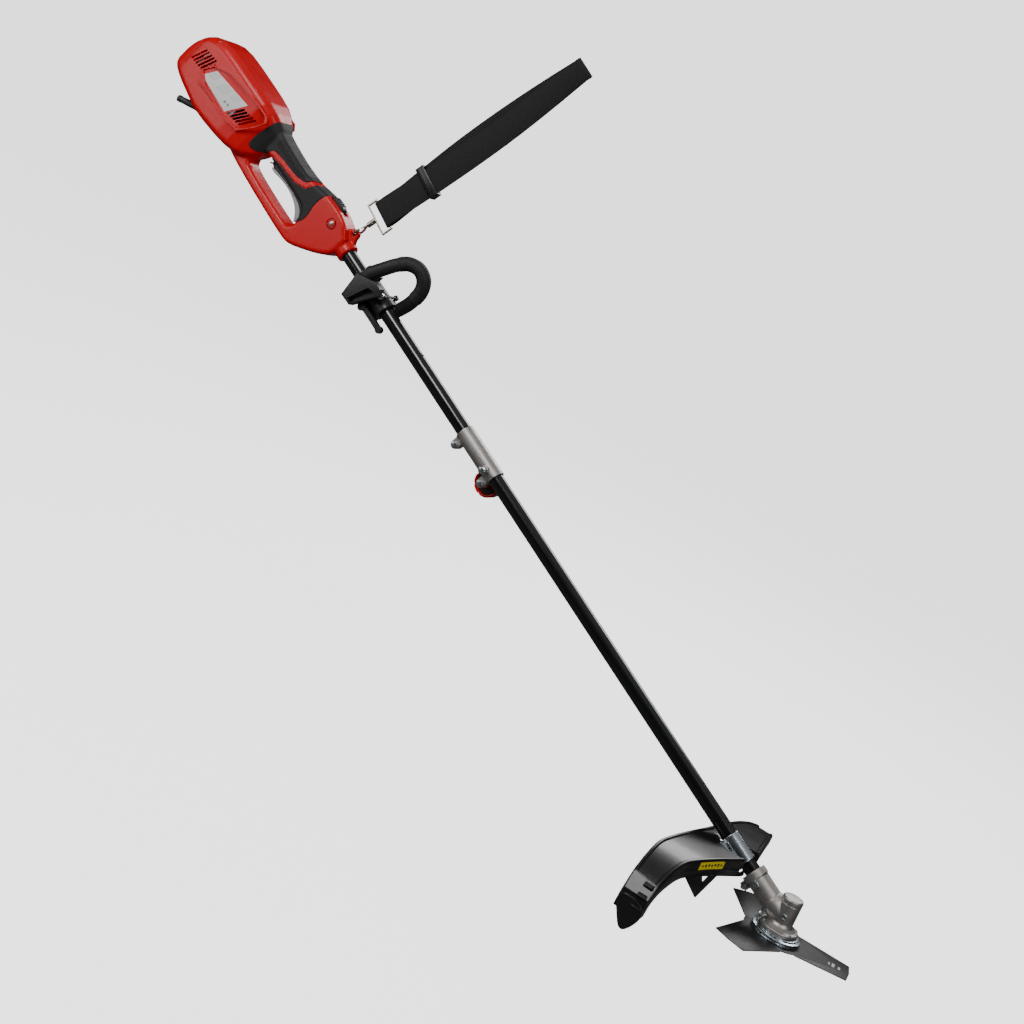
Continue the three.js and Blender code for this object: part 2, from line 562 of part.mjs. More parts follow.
function couplingParts(g) {
  const back = JOINT_X - 2.5 - COUPLING_LENGTH / 2 - 5.5;
  const front = back + COUPLING_LENGTH;
  const earZ = -COUPLING_R - 8;
  const ears = [back + 9, front - 9];
  const pinX = front - 18;
  let sleeve = union(
    pipeX(COUPLING_R, BORE_R, back, front, 28),
    ...ears.map((x) => cut(
      union(box([x - 8, -8.5, earZ], [x + 8, 8.5, -BORE_R]), barY(8, -8.5, 8.5, x, earZ, 16)),
      barX(BORE_R, back - 1, front + 1, 28),
    )),
    cut(barY(6.5, -COUPLING_R - 5, -BORE_R - 1, pinX, 0, 16), barX(BORE_R, back, front, 28)),
  );
  sleeve = cut(
    sleeve,
    box([back - 1, -1, -60], [front + 1, 1, -BORE_R + 2]),
    ...ears.map((x) => barY(2.8 + GAP, -12, 12, x, earZ, 12)),
    barY(2.6 + GAP, -COUPLING_R - 9, -BORE_R + 1, pinX, 0, 12),
  );
  g.add(node("tube_coupling", sleeve, CAST_ALUMINIUM));

  const names = ["ear_bolt_back", "ear_bolt_front"];
  ears.forEach((x, i) => {
    const end = i === 0 ? 12 : 30;
    const bolt = union(barY(2.8, -9, end, x, earZ, 12), barY(5.2, -14, -8.8, x, earZ, 14));
    g.add(node(names[i], bolt, ZINC));
  });
  const nut = cut(barY(5, 8.8, 12.8, ears[0], earZ, 6), barY(2.8 + GAP, 8, 14, ears[0], earZ, 12));
  g.add(node("ear_nut_back", nut, ZINC));

  // Clamp knob: a cup with its open side towards the tube, ribs inside and a hub on the bolt.
  const inner = COUPLING_R + 1.5;
  const knobX = ears[1];
  let knob = cut(
    barY(KNOB_R, inner, inner + 16, knobX, earZ, 36),
    barY(KNOB_R - 3, inner - 1, inner + 12, knobX, earZ, 32),
  );
  knob = knob.add(barY(7.5, 9, inner + 14, knobX, earZ, 20));
  for (let i = 0; i < 3; i++) {
    const rib = new THREE.BoxGeometry(2 * KNOB_R - 3, 11, 2.4);
    rib.rotateY(rad(60 * i + 20));
    rib.translate(knobX, inner + 8, earZ);
    knob = knob.add(solid(rib));
  }
  const fluteRing = KNOB_R + 1.8;
  for (let i = 0; i < 8; i++) {
    const angle = rad(45 * i + 10);
    const fluteX = knobX + Math.cos(angle) * fluteRing;
    knob = knob.subtract(barY(3.2, inner - 2, inner + 18, fluteX, earZ + Math.sin(angle) * fluteRing, 10));
  }
  knob = knob.subtract(barY(2.8 + GAP, 8, 30.5, knobX, earZ, 12));
  g.add(node("clamp_knob", knob, RED));

  const pin = union(
    barY(2.6, -COUPLING_R - 12, -TUBE_R - GAP, pinX, 0, 12),
    barY(6, -COUPLING_R - 17, -COUPLING_R - 6.5, pinX, 0, 18, 5),
  );
  g.add(node("lock_pin", pin, ZINC));
}

const LOOP_BOLT = (back, front) => [(back + front) / 2 + 22, TUBE_R + 5.6];

function handleParts(g) {
  const back = NOSE_X + 56;
  const middle = back + SADDLE_LENGTH / 2;
  const front = back + SADDLE_LENGTH;
  const outer = TUBE_R + GAP + 7;
  const legNear = [back + 17, -outer - LOOP_R + 5, 22];
  const legFar = [front - 13 + LOOP_R, outer + LOOP_R - 5, 4];

  // Saddle: a split sleeve with a pad on each side for the loop's flattened ends.
  const saddle = cut(
    union(
      barX(outer, back, front, 28),
      box([back + 4, -outer - 2, 2], [back + 30, 0, 30]),
      box([front - 16, 0, -8], [front + 8, outer + 2, 16]),
      box([middle - 6, -11, -outer - 9], [front - 4, 11, -10]),
    ),
    barX(BORE_R, back - 1, front + 20, 28),
    box([back - 1, -1.2, -60], [front + 20, 1.2, 0]),
    barX(3.3, middle - 10, front, 12, 0, -outer - 3),
    barY(2.8 + GAP, -40, 40, ...LOOP_BOLT(back, front), 12),
    barY(2.8 + GAP, -30, 30, middle + 10, -outer - 4, 12),
  );
  g.add(node("handle_saddle", saddle, BLACK_PLASTIC));

  const path = new THREE.CatmullRomCurve3(
    [
      [legNear[0], legNear[1], legNear[2]],
      [legNear[0] + 12, legNear[1] + 6, legNear[2] + 28],
      [legNear[0] + 24, legNear[1] + 14, LOOP_HEIGHT - 18],
      [front - 10, -6, LOOP_HEIGHT - 1],
      [front + 6, 10, LOOP_HEIGHT - 14],
      [front + 6, 22, LOOP_HEIGHT - 40],
      [legFar[0] + 2, legFar[1] + 2, legFar[2] + 26],
      [legFar[0], legFar[1], legFar[2]],
    ].map((p) => new THREE.Vector3(...p)),
    false,
    "catmullrom",
    0.5,
  );
  const section = new THREE.Shape().absarc(0, 0, LOOP_R, 0, 2 * Math.PI);
  const tube = new THREE.ExtrudeGeometry(section, { steps: 22, curveSegments: 7, extrudePath: path });
  const ends = union(
    barX(BORE_R + 9, back - 20, front + 30, 28),
    box([back + 3, -outer - 2.4, 1], [back + 31, 0, 30.4]),
    box([front - 17, 0, -9], [front + 9, outer + 2.4, 16.4]),
  );
  g.add(node("loop_handle", solid(tube).subtract(ends), BLACK_RUBBER));

  // Right-hand block: a leaning wedge with an open front.
  const wedge = sideProfile(
    [
      [back - 1, -2], [back + 12, -38], [back + 36, -38], [back + 24, -2],
    ],
    14, 0, -outer - 15,
  );
  const slant = new THREE.BoxGeometry(80, 60, 30);
  slant.rotateX(rad(-24));
  slant.translate(back + 20, -outer - 6, -51);
  const pocket = box([back + 30, -outer - 26, -36], [back + 60, -outer - 4, -6]);
  const block = cut(wedge, pocket, solid(slant), barX(outer + GAP, back - 20, front + 20, 28));
  g.add(node("handle_block", block, BLACK_PLASTIC));

  const boltAt = LOOP_BOLT(back, front);
  const bolt = union(
    barY(2.8, -outer - 3, outer + 4, ...boltAt, 12),
    barY(6, -outer - 8, -outer - 2.6, ...boltAt, 10),
  );
  g.add(node("loop_bolt", bolt, ZINC));
  const wing = cut(
    union(barY(5.5, outer + 2.4, outer + 7, ...boltAt, 6)),
    barY(2.8 + GAP, 0, outer + 5, ...boltAt, 12),
  );
  g.add(node("loop_bolt_nut", wing, NICKEL));

  // Quick-release: cross bolt under the saddle with a cam lever on its right-hand end.
  const crossX = middle + 10;
  const crossZ = -outer - 4;
  const cross = union(
    barY(2.8, -16, 14, crossX, crossZ, 12),
    barY(5, 11.4, 14.5, crossX, crossZ, 6),
  );
  g.add(node("cam_bolt", cross, ZINC));
  const lever = cut(
    union(
      barY(7.1, -23, -11.4, crossX, crossZ, 20),
      box([crossX, -22, crossZ - 2], [crossX + 52, -13, crossZ + 7]),
      barY(6.5, -22, -13, crossX + 52, crossZ + 2.5, 16),
    ),
    barY(2.8 + GAP, -18, 0, crossX, crossZ, 12),
    barX(outer + GAP, crossX - 60, crossX + 80, 24),
  );
  g.add(node("release_lever", lever, BLACK_PLASTIC));
}

function clampParts(g) {
  // Zinc saddle over the tube, screwed down to the seat of the guard.
  const outer = TUBE_R + GAP + 2.2;
  const [right, left] = CLAMP_SCREW_Y;
  const bracket = cut(
    union(
      cut(barX(outer, CLAMP_BACK, CLAMP_FRONT, 12), box([CLAMP_BACK - 1, -60, -60], [CLAMP_FRONT + 1, 60, -1])),
      box([CLAMP_BACK, right - 6, -TUBE_R + 3], [CLAMP_FRONT, right + 6, -TUBE_R + 5.2]),
      box([CLAMP_BACK, left - 6, -TUBE_R + 3], [CLAMP_FRONT, left + 6, -TUBE_R + 5.2]),
      box([CLAMP_BACK, -outer, -TUBE_R + 3], [CLAMP_FRONT, -outer + 2.2, 0]),
      box([CLAMP_BACK, outer - 2.2, -TUBE_R + 3], [CLAMP_FRONT, outer, 0]),
    ),
    barX(BORE_R, CLAMP_BACK - 1, CLAMP_FRONT + 1, 28),
    ...CLAMP_SCREW_Y.map(clampScrewHole),
  );
  g.add(node("guard_clamp", bracket, ZINC));
  const names = ["guard_screw_right", "guard_screw_left"];
  CLAMP_SCREW_Y.forEach((y, i) => {
    const screw = union(
      barZ(2, -TUBE_R - 18, -TUBE_R + 6, 10, CLAMP_SCREW_X, y),
      barZ(4.4, -TUBE_R + 5.5, -TUBE_R + 9, 12, CLAMP_SCREW_X, y),
    );
    g.add(node(names[i], screw, ZINC));
  });

  const lugX = -COLLAR_LENGTH + 11;
  const pinch = union(barY(2, -9, 9, lugX, PINCH_Z, 10), barY(4.6, -13, -8.3, lugX, PINCH_Z, 14));
  g.add(node("collar_pinch_screw", pinch, STEEL));
  const face = BORE_R + COLLAR_WALL;
  const stop = union(
    barY(2.5, -face - 1, -TUBE_R - GAP, -COLLAR_LENGTH + 20, 0, 10),
    barY(4.6, -face - 5.2, -face - 0.4, -COLLAR_LENGTH + 20, 0, 14),
  );
  g.add(node("collar_stop_screw", stop, STEEL));
}

function housingParts(g) {
  const whole = housing();
  const far = 2000;
  const region = (lowX, highX, lowY, highY) => box([lowX, lowY, -far], [highX, highY, far]);
  const halfGap = GAP / 2;
  g.add(node("housing_right", whole.intersect(region(CAP_X, 0, -far, -halfGap)), RED));
  g.add(node("housing_left", whole.intersect(region(CAP_X, 0, halfGap, far)), RED));
  g.add(node("rear_cap", whole.intersect(region(-3 * far, CAP_X - GAP, -far, far)), RED));

  // Grip skin over the rear handle: open below, so that the trigger can move.
  const gripBack = NOSE_X - 226;
  const gripFront = NOSE_X - 108;
  const skin = cut(
    sideProfile(
      fromNose([[-226, 29], [-180, 26], [-138, 27], [-108, 33], [-108, -12], [-226, -12]]),
      GRIP_HALF + 3, 7,
    ),
    sideProfile(
      fromNose([
        [-300, 30.3], [-228, 26.3], [-180, 23.3], [-138, 24.3], [-107, 30.3], [-86, 35.3], [-86, -40], [-300, -40],
      ]),
      GRIP_HALF + GAP, 7,
    ),
    box([gripBack - 20, -60, -60], [gripFront + 20, 60, -11]),
    sideProfile(MOTOR_SIDE, BODY_HALF + GAP, 9),
  );
  const clear = box([gripBack - 5, -80, -80], [NOSE_X - 235.5, 80, 80]);
  g.add(node("grip_skin", skin.subtract(clear), BLACK_RUBBER));

  // Motor.
  g.add(node("motor_stator", pipeX(STATOR_R, 25, STATOR_BACK, STATOR_FRONT, 32), COPPER));
  const rotor = union(
    barX(24, STATOR_BACK + 2, STATOR_FRONT - 2, 28),
    barX(12, MOTOR_BACK + 9, STATOR_BACK + 4, 20),
    barX(SHAFT_R, MOTOR_BACK - 4, NOSE_X - 291, 12),
  );
  g.add(node("motor_rotor", rotor, COPPER));
  let fan = cut(barX(STATOR_R - 2, FAN_X, FAN_X + 2, 32), barX(SHAFT_R + GAP, FAN_X - 9, FAN_X + 20, 12));
  fan = fan.add(cut(barX(8, FAN_X, FAN_X + 10, 16), barX(SHAFT_R + GAP, FAN_X - 9, FAN_X + 20, 12)));
  for (let i = 0; i < 8; i++) {
    const vane = new THREE.BoxGeometry(8, 2, STATOR_R - 12);
    vane.translate(FAN_X + 5.5, 0, (STATOR_R - 12) / 2 + 9);
    vane.rotateX((i * Math.PI) / 4);
    fan = fan.add(solid(vane));
  }
  g.add(node("cooling_fan", fan, BLACK_PLASTIC));
  const bearings = { motor_bearing_back: MOTOR_BACK, motor_bearing_front: MOTOR_FRONT };
  for (const [name, x] of Object.entries(bearings)) {
    g.add(node(name, pipeX(9, SHAFT_R + GAP, x, x + 7, 20), STEEL));
  }

  const brackets = { motor_bracket_back: MOTOR_BACK - 1, motor_bracket_front: MOTOR_FRONT + 2 };
  const room = sideProfile(insetTo(MOTOR_SIDE, SHELL + GAP), BODY_HALF - SHELL - GAP, 6);
  for (const [name, x] of Object.entries(brackets)) {
    const slice = room.intersect(box([x, -BODY_HALF, -BODY_HALF], [x + 5, BODY_HALF, BODY_HALF]));
    g.add(node(name, slice.subtract(barX(9 + GAP, x - 1, x + 6, 24)), BLACK_PLASTIC));
  }

  // Trigger group.
  const trigger = cut(
    sideProfile(TRIGGER_SIDE, TRIGGER_HALF),
    barY(TRIGGER_PIN_R + GAP, -20, 20, ...TRIGGER_PIVOT, 12),
  );
  g.add(node("trigger", trigger, GREY_PLASTIC));
  g.add(node("trigger_pin", barY(TRIGGER_PIN_R, 1 - GRIP_HALF, GRIP_HALF - 1, ...TRIGGER_PIVOT, 12), STEEL));
  const switchLow = [NOSE_X - 170, -7, -9.5];
  const switchHigh = [NOSE_X - 130, 7, -SHAFT_R - 1.2];
  g.add(node("power_switch", box(switchLow, switchHigh), BLACK_PLASTIC));
  const button = union(
    box([BUTTON_BACK, -BUTTON_HALF, BUTTON_FLOOR], [BUTTON_BACK + BUTTON_LENGTH, BUTTON_HALF, BUTTON_FLOOR + 11]),
    sideProfile(
      [
        [BUTTON_BACK + 2, BUTTON_FLOOR + 10], [BUTTON_BACK + 6, BUTTON_FLOOR + 14],
        [BUTTON_BACK + 24, BUTTON_FLOOR + 15], [BUTTON_BACK + 34, BUTTON_FLOOR + 10],
      ],
      BUTTON_HALF - 1,
    ),
  );
  g.add(node("lock_off_button", button, BLACK_PLASTIC));

  // Cable sleeve out of the boss under the back of the motor.
  const sleeveLength = 52;
  const sleeve = place(new THREE.CylinderGeometry(6.2, 6.6, sleeveLength, 16), {
    at: [NOSE_X - 408, -8, -93],
    turn: [0, -27, 90],
  });
  g.add(node("cable_sleeve", sleeve.subtract(whole), BLACK_RUBBER));
}

function strapParts(g) {
  const s = new THREE.Group();
  // Upright frame: zero at the eyelet, strap along +Z.
  s.position.set(EYE[0], 0, EYE[1]);
  s.rotation.y = rad(7);
  const wire = 1.6;
  const hookPath = new THREE.CatmullRomCurve3(
    [[2, 32], [3, 22], [9, 14], [9.5, 6], [6, 0], [0, -1.5], [-6, 0], [-9, 6], [-7, 14]].map(
      ([y, z]) => new THREE.Vector3(0, y, z),
    ),
  );
  const round = new THREE.Shape().absarc(0, 0, wire, 0, 2 * Math.PI);
  const hook = new THREE.ExtrudeGeometry(round, { steps: 18, curveSegments: 4, extrudePath: hookPath });
  const hookBody = union(solid(hook), barZ(4, 28, 38, 14, 0, 2));
  s.add(node("snap_hook", hookBody, NICKEL));
  const gate = place(new THREE.CylinderGeometry(1.3, 1.3, 9.5, 10), { at: [0, -4, 22], turn: [62, 0, 0] });
  s.add(node("hook_gate", gate.subtract(solid(hook)), NICKEL));

  const ringHalf = STRAP_WIDTH / 2 + 3;
  const ringLow = 44;
  const ringHigh = 66;
  const ring = cut(
    union(
      box([-ringHalf - 3, 0.4, ringLow], [ringHalf + 3, 3.6, ringHigh]),
      barZ(4.5, 38.4, ringLow + 1, 14, 0, 2),
    ),
    box([-ringHalf, -5, ringLow + 3.2], [ringHalf, 8, ringHigh - 3.2]),
  );
  s.add(node("swivel_ring", ring, NICKEL));

  // Webbing: two layers joined at the far end, held round the ring's top bar.
  const low = ringHigh - 11;
  const top = low + STRAP_LENGTH;
  const near = 3;
  const barTop = ringHigh;
  const outerHalf = 5;
  const band = (half, width) => {
    const shape = new THREE.Shape();
    shape.absarc(0, low + outerHalf, half, Math.PI, 2 * Math.PI);
    shape.absarc(0, top - outerHalf, half, 0, Math.PI);
    const geometry = new THREE.ExtrudeGeometry(shape, { depth: width, curveSegments: 5, bevelEnabled: false });
    return place(geometry, { at: [-width / 2, 2, 0], turn: [90, 0, 90] });
  };
  const strap = band(outerHalf, STRAP_WIDTH).subtract(band(outerHalf - STRAP_T, STRAP_WIDTH + 2));
  s.add(node("strap_webbing", strap, WEBBING));
  const sliderZ = barTop + 88;
  const slotHalf = STRAP_WIDTH / 2 + 0.8;
  const slotDeep = outerHalf + 0.8;
  const slider = cut(
    box([-ringHalf - 2, 2 - outerHalf - near, sliderZ], [ringHalf + 2, 2 + outerHalf + near, sliderZ + 16]),
    box([-slotHalf, 2 - slotDeep, sliderZ - 1], [slotHalf, 2 + slotDeep, sliderZ + 17]),
  );
  s.add(node("strap_slider", slider, BLACK_PLASTIC));
  g.add(s);
}

// ---------- assembly ----------
const root = new THREE.Group();
const lift = HEAD_HEIGHT;
const tiltMatrix = new THREE.Matrix4().makeRotationY(rad(SLOPE));

const head = new THREE.Group();
head.position.z = lift;
head.add(headParts(tiltMatrix), guardParts(tiltMatrix));

const tool = new THREE.Group();
tool.position.z = lift;
tool.rotation.y = rad(SLOPE);
tubeParts(tool);
couplingParts(tool);
handleParts(tool);
clampParts(tool);
housingParts(tool);
strapParts(tool);

root.add(head, tool);
export default root;
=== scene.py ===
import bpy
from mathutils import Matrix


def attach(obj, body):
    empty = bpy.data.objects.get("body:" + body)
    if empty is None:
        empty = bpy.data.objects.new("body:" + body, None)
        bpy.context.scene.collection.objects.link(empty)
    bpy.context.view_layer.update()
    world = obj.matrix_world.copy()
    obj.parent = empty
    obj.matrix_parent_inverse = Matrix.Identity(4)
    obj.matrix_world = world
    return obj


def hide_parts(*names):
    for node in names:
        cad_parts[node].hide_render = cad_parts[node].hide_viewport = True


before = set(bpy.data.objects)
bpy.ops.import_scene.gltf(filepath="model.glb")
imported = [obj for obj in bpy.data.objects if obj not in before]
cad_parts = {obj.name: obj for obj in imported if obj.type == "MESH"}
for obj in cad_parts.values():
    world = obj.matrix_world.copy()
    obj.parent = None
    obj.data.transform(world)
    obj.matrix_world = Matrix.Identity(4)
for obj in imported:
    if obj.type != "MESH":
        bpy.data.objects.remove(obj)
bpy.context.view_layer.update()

import math

import bmesh
import bpy
import numpy as np
from mathutils import Matrix, Vector

# ---------- Studio ----------
# A camera three metres off to the right of the head, rolled so that the tool runs down across the picture.
# Four soft lamps stand round it in a pale paper bowl. The paper glows only for the camera, so that it
# doesn't wash out the metals.
camera_data = bpy.data.cameras.new("studio_camera")
camera_data.sensor_width = 36
camera_data.lens = 65.57
camera = bpy.data.objects.new("studio_camera", camera_data)
bpy.context.scene.collection.objects.link(camera)
bpy.context.scene.camera = camera
camera.matrix_world = Matrix((
    (0.8006, -0.4672, 0.3756, 0.4539),
    (0.4389, 0.0298, -0.8981, -2.7568),
    (0.4084, 0.8839, 0.2288, 1.0935),
    (0, 0, 0, 1),
))


def softbox(name, place, aim, size, power):
    lamp = bpy.data.lights.new(name, "AREA")
    lamp.shape = "RECTANGLE"
    lamp.size, lamp.size_y = size
    lamp.energy = power
    stand = bpy.data.objects.new(name, lamp)
    bpy.context.scene.collection.objects.link(stand)
    stand.location = place
    stand.rotation_euler = (Vector(aim) - Vector(place)).to_track_quat("-Z", "Y").to_euler()


softbox("key_softbox", (-1.6, -2.6, 3.0), (-0.8, 0, 0.5), (1.6, 1.2), 70)
softbox("side_strip", (1.9, -1.6, 1.7), (-0.5, 0, 0.4), (0.5, 2.4), 34)
softbox("back_softbox", (-0.6, 2.6, 2.4), (-0.7, 0, 0.4), (2.2, 0.9), 55)
softbox("low_fill", (-2.6, -1.8, 0.9), (-1.2, 0, 0.6), (1.0, 1.0), 12)

world = bpy.data.worlds.new("studio_air")
bpy.context.scene.world = world
world.use_nodes = True
world_nodes = world.node_tree.nodes
world_links = world.node_tree.links
world_nodes["Background"].inputs["Color"].default_value = (0.9, 0.92, 0.95, 1)
world_nodes["Background"].inputs["Strength"].default_value = 0.34
white_wall = world_nodes.new("ShaderNodeBackground")
white_wall.inputs["Color"].default_value = (1, 1, 1, 1)
white_wall.inputs["Strength"].default_value = 1.0
ray_kind = world_nodes.new("ShaderNodeLightPath")
wall_mix = world_nodes.new("ShaderNodeMixShader")
world_links.new(ray_kind.outputs["Is Camera Ray"], wall_mix.inputs["Fac"])
world_links.new(world_nodes["Background"].outputs[0], wall_mix.inputs[1])
world_links.new(white_wall.outputs[0], wall_mix.inputs[2])
world_links.new(wall_mix.outputs[0], world_nodes["World Output"].inputs["Surface"])

FLOOR_Z = -0.30
FLOOR_FLAT, FLOOR_SWEEP, FLOOR_WALL = 7.0, 6.0, 16.0
FLOOR_SIDES = 96
PAPER_GLOW = 1.95
floor_profile = [(0.01, FLOOR_Z), (FLOOR_FLAT, FLOOR_Z)]
floor_profile += [(FLOOR_FLAT + FLOOR_SWEEP * math.sin(math.radians(a)),
                   FLOOR_Z + FLOOR_SWEEP * (1 - math.cos(math.radians(a)))) for a in range(5, 91, 5)]
floor_profile += [(FLOOR_FLAT + FLOOR_SWEEP, FLOOR_WALL)]
floor_mesh = bpy.data.meshes.new("studio_floor")
floor_points = [(r * math.cos(math.tau * i / FLOOR_SIDES), r * math.sin(math.tau * i / FLOOR_SIDES), z)
                for r, z in floor_profile for i in range(FLOOR_SIDES)]
floor_faces = [(row * FLOOR_SIDES + i, row * FLOOR_SIDES + (i + 1) % FLOOR_SIDES,
                (row + 1) * FLOOR_SIDES + (i + 1) % FLOOR_SIDES, (row + 1) * FLOOR_SIDES + i)
               for row in range(len(floor_profile) - 1) for i in range(FLOOR_SIDES)]
floor_mesh.from_pydata(floor_points, [], floor_faces)
floor_mesh.flip_normals()
for polygon in floor_mesh.polygons:
    polygon.use_smooth = True
floor = bpy.data.objects.new("studio_floor", floor_mesh)
bpy.context.scene.collection.objects.link(floor)
paper = bpy.data.materials.new("floor_paper")
paper.use_nodes = True
paper_shader = paper.node_tree.nodes["Principled BSDF"]
paper_shader.inputs["Base Color"].default_value = (0.86, 0.86, 0.86, 1)
paper_shader.inputs["Roughness"].default_value = 0.9
paper_shader.inputs["Emission Color"].default_value = (1, 1, 1, 1)
paper_shader.inputs["Emission Strength"].default_value = PAPER_GLOW
paper_nodes, paper_links = paper.node_tree.nodes, paper.node_tree.links
seen_by = paper_nodes.new("ShaderNodeLightPath")
shade_card = paper_nodes.new("ShaderNodeBsdfDiffuse")
shade_card.inputs["Color"].default_value = (0.10, 0.10, 0.10, 1)
paper_mix = paper_nodes.new("ShaderNodeMixShader")
paper_links.new(seen_by.outputs["Is Camera Ray"], paper_mix.inputs["Fac"])
paper_links.new(shade_card.outputs[0], paper_mix.inputs[1])
paper_links.new(paper_shader.outputs[0], paper_mix.inputs[2])
paper_links.new(paper_mix.outputs[0], paper_nodes["Material Output"].inputs["Surface"])
floor_mesh.materials.append(paper)

# ---------- Motor housing ----------
# Two half shells of red polyamide, screwed together along the middle, with a rear cap. From here on sizes
# are in millimetres, in the tool frame: zero at the gearbox corner, +X forward along the tube, +Z up from
# it. NOSE is where the housing ends on the tube.
SLOPE = math.radians(26.6)
HEAD_HEIGHT = 0.0501
LEVEL = Matrix.Translation((0, 0, HEAD_HEIGHT)) @ Matrix.Scale(0.001, 4)
TOOL = Matrix.Translation((0, 0, HEAD_HEIGHT)) @ Matrix.Rotation(SLOPE, 4, "Y") @ Matrix.Scale(0.001, 4)
NOSE = -1324.0


class Shade:
    """A socket of a material. Sums and products on it add Math nodes."""

    def __init__(self, tree, socket=None):
        self.tree = tree
        self.socket = socket

    def add(self, kind, settings=None, sockets=None, out=0):
        made = self.tree.nodes.new(kind)
        for key, value in (settings or {}).items():
            if key == "stops":
                ramp = made.color_ramp.elements
                while len(ramp) < len(value):
                    ramp.new(0.5)
                for element, (at, tone) in zip(ramp, value):
                    element.position = at
                    element.color = (tone, tone, tone, 1)
            else:
                setattr(made, key, value)
        for key, value in (sockets or {}).items():
            if isinstance(value, Shade):
                self.tree.links.new(value.socket, made.inputs[key])
            else:
                made.inputs[key].default_value = value
        return Shade(self.tree, made.outputs[out])

    def maths(self, operation, first, second):
        return self.add("ShaderNodeMath", {"operation": operation}, {0: first, 1: second})

    def __add__(self, other):
        return self.maths("ADD", self, other)

    def __mul__(self, other):
        return self.maths("MULTIPLY", self, other)

    def __sub__(self, other):
        return self.maths("SUBTRACT", self, other)

    def __rsub__(self, other):
        return self.maths("SUBTRACT", other, self)

    __radd__ = __add__
    __rmul__ = __mul__


def surface(name, colour, rough, metal=0.0, coat=0.0, grain=900.0, depth=0.03, tone=0.12, spread=0.1,
            stretch=(1, 1, 1), marks=0.0):
    """A finish with a fine grain, slow changes of tone and, where asked, small rubbed marks."""
    made = bpy.data.materials.new(name)
    made.use_nodes = True
    tree = made.node_tree
    shader = tree.nodes["Principled BSDF"]
    start = Shade(tree)
    where = start.add("ShaderNodeTexCoord", out="Object")
    along = start.add("ShaderNodeMapping", {}, {"Vector": where, "Rotation": (0, -SLOPE, 0)})
    drawn = start.add("ShaderNodeMapping", {}, {"Vector": along, "Scale": stretch})
    slow = start.add("ShaderNodeTexNoise", {}, {"Vector": where, "Scale": 26.0, "Detail": 4.0})
    fine = start.add("ShaderNodeTexNoise", {}, {"Vector": drawn, "Scale": grain, "Detail": 3.0})
    mixed = start.add(
        "ShaderNodeMix", {"data_type": "RGBA"},
        {0: slow, 6: (*[c * (1 - tone) for c in colour], 1), 7: (*[min(c * (1 + tone), 1) for c in colour], 1)},
        out=2,
    )
    roughness = (fine - 0.5) * spread + (slow - 0.5) * spread + rough
    if marks:
        scuffs = start.add("ShaderNodeTexNoise", {}, {"Vector": drawn, "Scale": 150.0, "Detail": 6.0})
        worn = start.add("ShaderNodeValToRGB", {"stops": [(0.6, 0), (0.72, 1)]}, {"Fac": scuffs})
        roughness = roughness + worn * marks
    tree.links.new(mixed.socket, shader.inputs["Base Color"])
    tree.links.new(roughness.socket, shader.inputs["Roughness"])
    bump = start.add("ShaderNodeBump", {}, {"Height": fine, "Distance": depth * 0.001, "Strength": 1.0})
    tree.links.new(bump.socket, shader.inputs["Normal"])
    shader.inputs["Metallic"].default_value = metal
    shader.inputs["Coat Weight"].default_value = coat
    shader.inputs["Coat Roughness"].default_value = 0.08
    return made


RED = surface("red_polyamide", (0.66, 0.002, 0.006), 0.30, grain=1500, depth=0.005, tone=0.08, marks=0.06)
# A near-black, matte, almost unreflecting finish that is painted shade: it is put where only shadow would be seen.
PAINTED_SHADE_BLACK = surface("dark_inside", (0.003, 0.003, 0.003), 0.95)
for dull, shine in ((RED, 0.32), (PAINTED_SHADE_BLACK, 0.05)):
    dull.node_tree.nodes["Principled BSDF"].inputs["Specular IOR Level"].default_value = shine


def raw(name, verts, faces):
    """A linked mesh object, still in millimetres."""
    mesh = bpy.data.meshes.new(name)
    mesh.from_pydata([tuple(v) for v in verts], [], faces)
    made = bpy.data.objects.new(name, mesh)
    bpy.context.scene.collection.objects.link(made)
    return made


def modify(obj, kind, **settings):
    modifier = obj.modifiers.new(kind.lower(), kind)
    for key, value in settings.items():
        setattr(modifier, key, value)
    return obj


def bake(obj):
    """Makes the modifiers' result the object's own mesh."""
    graph = bpy.context.evaluated_depsgraph_get()
    mesh = bpy.data.meshes.new_from_object(obj.evaluated_get(graph))
    if obj.type == "MESH":
        obj.modifiers.clear()
        obj.data = mesh
        return obj
    made = bpy.data.objects.new(obj.name + "_solid", mesh)
    bpy.context.scene.collection.objects.link(made)
    bpy.data.objects.remove(obj)
    return made


def edit(obj, action):
    """Runs an action on the object's bmesh."""
    work = bmesh.new()
    work.from_mesh(obj.data)
    action(work)
    work.to_mesh(obj.data)
    work.free()
    return obj


def outward(obj, merge=1e-4):
    """Closes the seams of a mesh and turns its faces outwards."""
    def turn(work):
        bmesh.ops.remove_doubles(work, verts=work.verts, dist=merge)
        bmesh.ops.recalc_face_normals(work, faces=work.faces)
    return edit(obj, turn)


def join(name, parts):
    """One object from several, which are thrown away."""
    work = bmesh.new()
    for part in parts:
        work.from_mesh(part.data)
        bpy.data.objects.remove(part)
    made = raw(name, [], [])
    work.to_mesh(made.data)
    work.free()
    return made


def carve(body, tool, operation="DIFFERENCE"):
    """Cuts a tool out of a body, or keeps what both share, and throws the tool away."""
    modify(body, "BOOLEAN", operation=operation, object=tool, solver="MANIFOLD")
    bake(body)
    bpy.data.objects.remove(tool)
    return body


def soften(points, times=2):
    """Cuts the corners of a closed outline, again and again."""
    for _ in range(times):
        cut = []
        for a, b in zip(points, points[1:] + points[:1]):
            cut.append([a[0] * 0.75 + b[0] * 0.25, a[1] * 0.75 + b[1] * 0.25])
            cut.append([a[0] * 0.25 + b[0] * 0.75, a[1] * 0.25 + b[1] * 0.75])
        points = cut
    return points


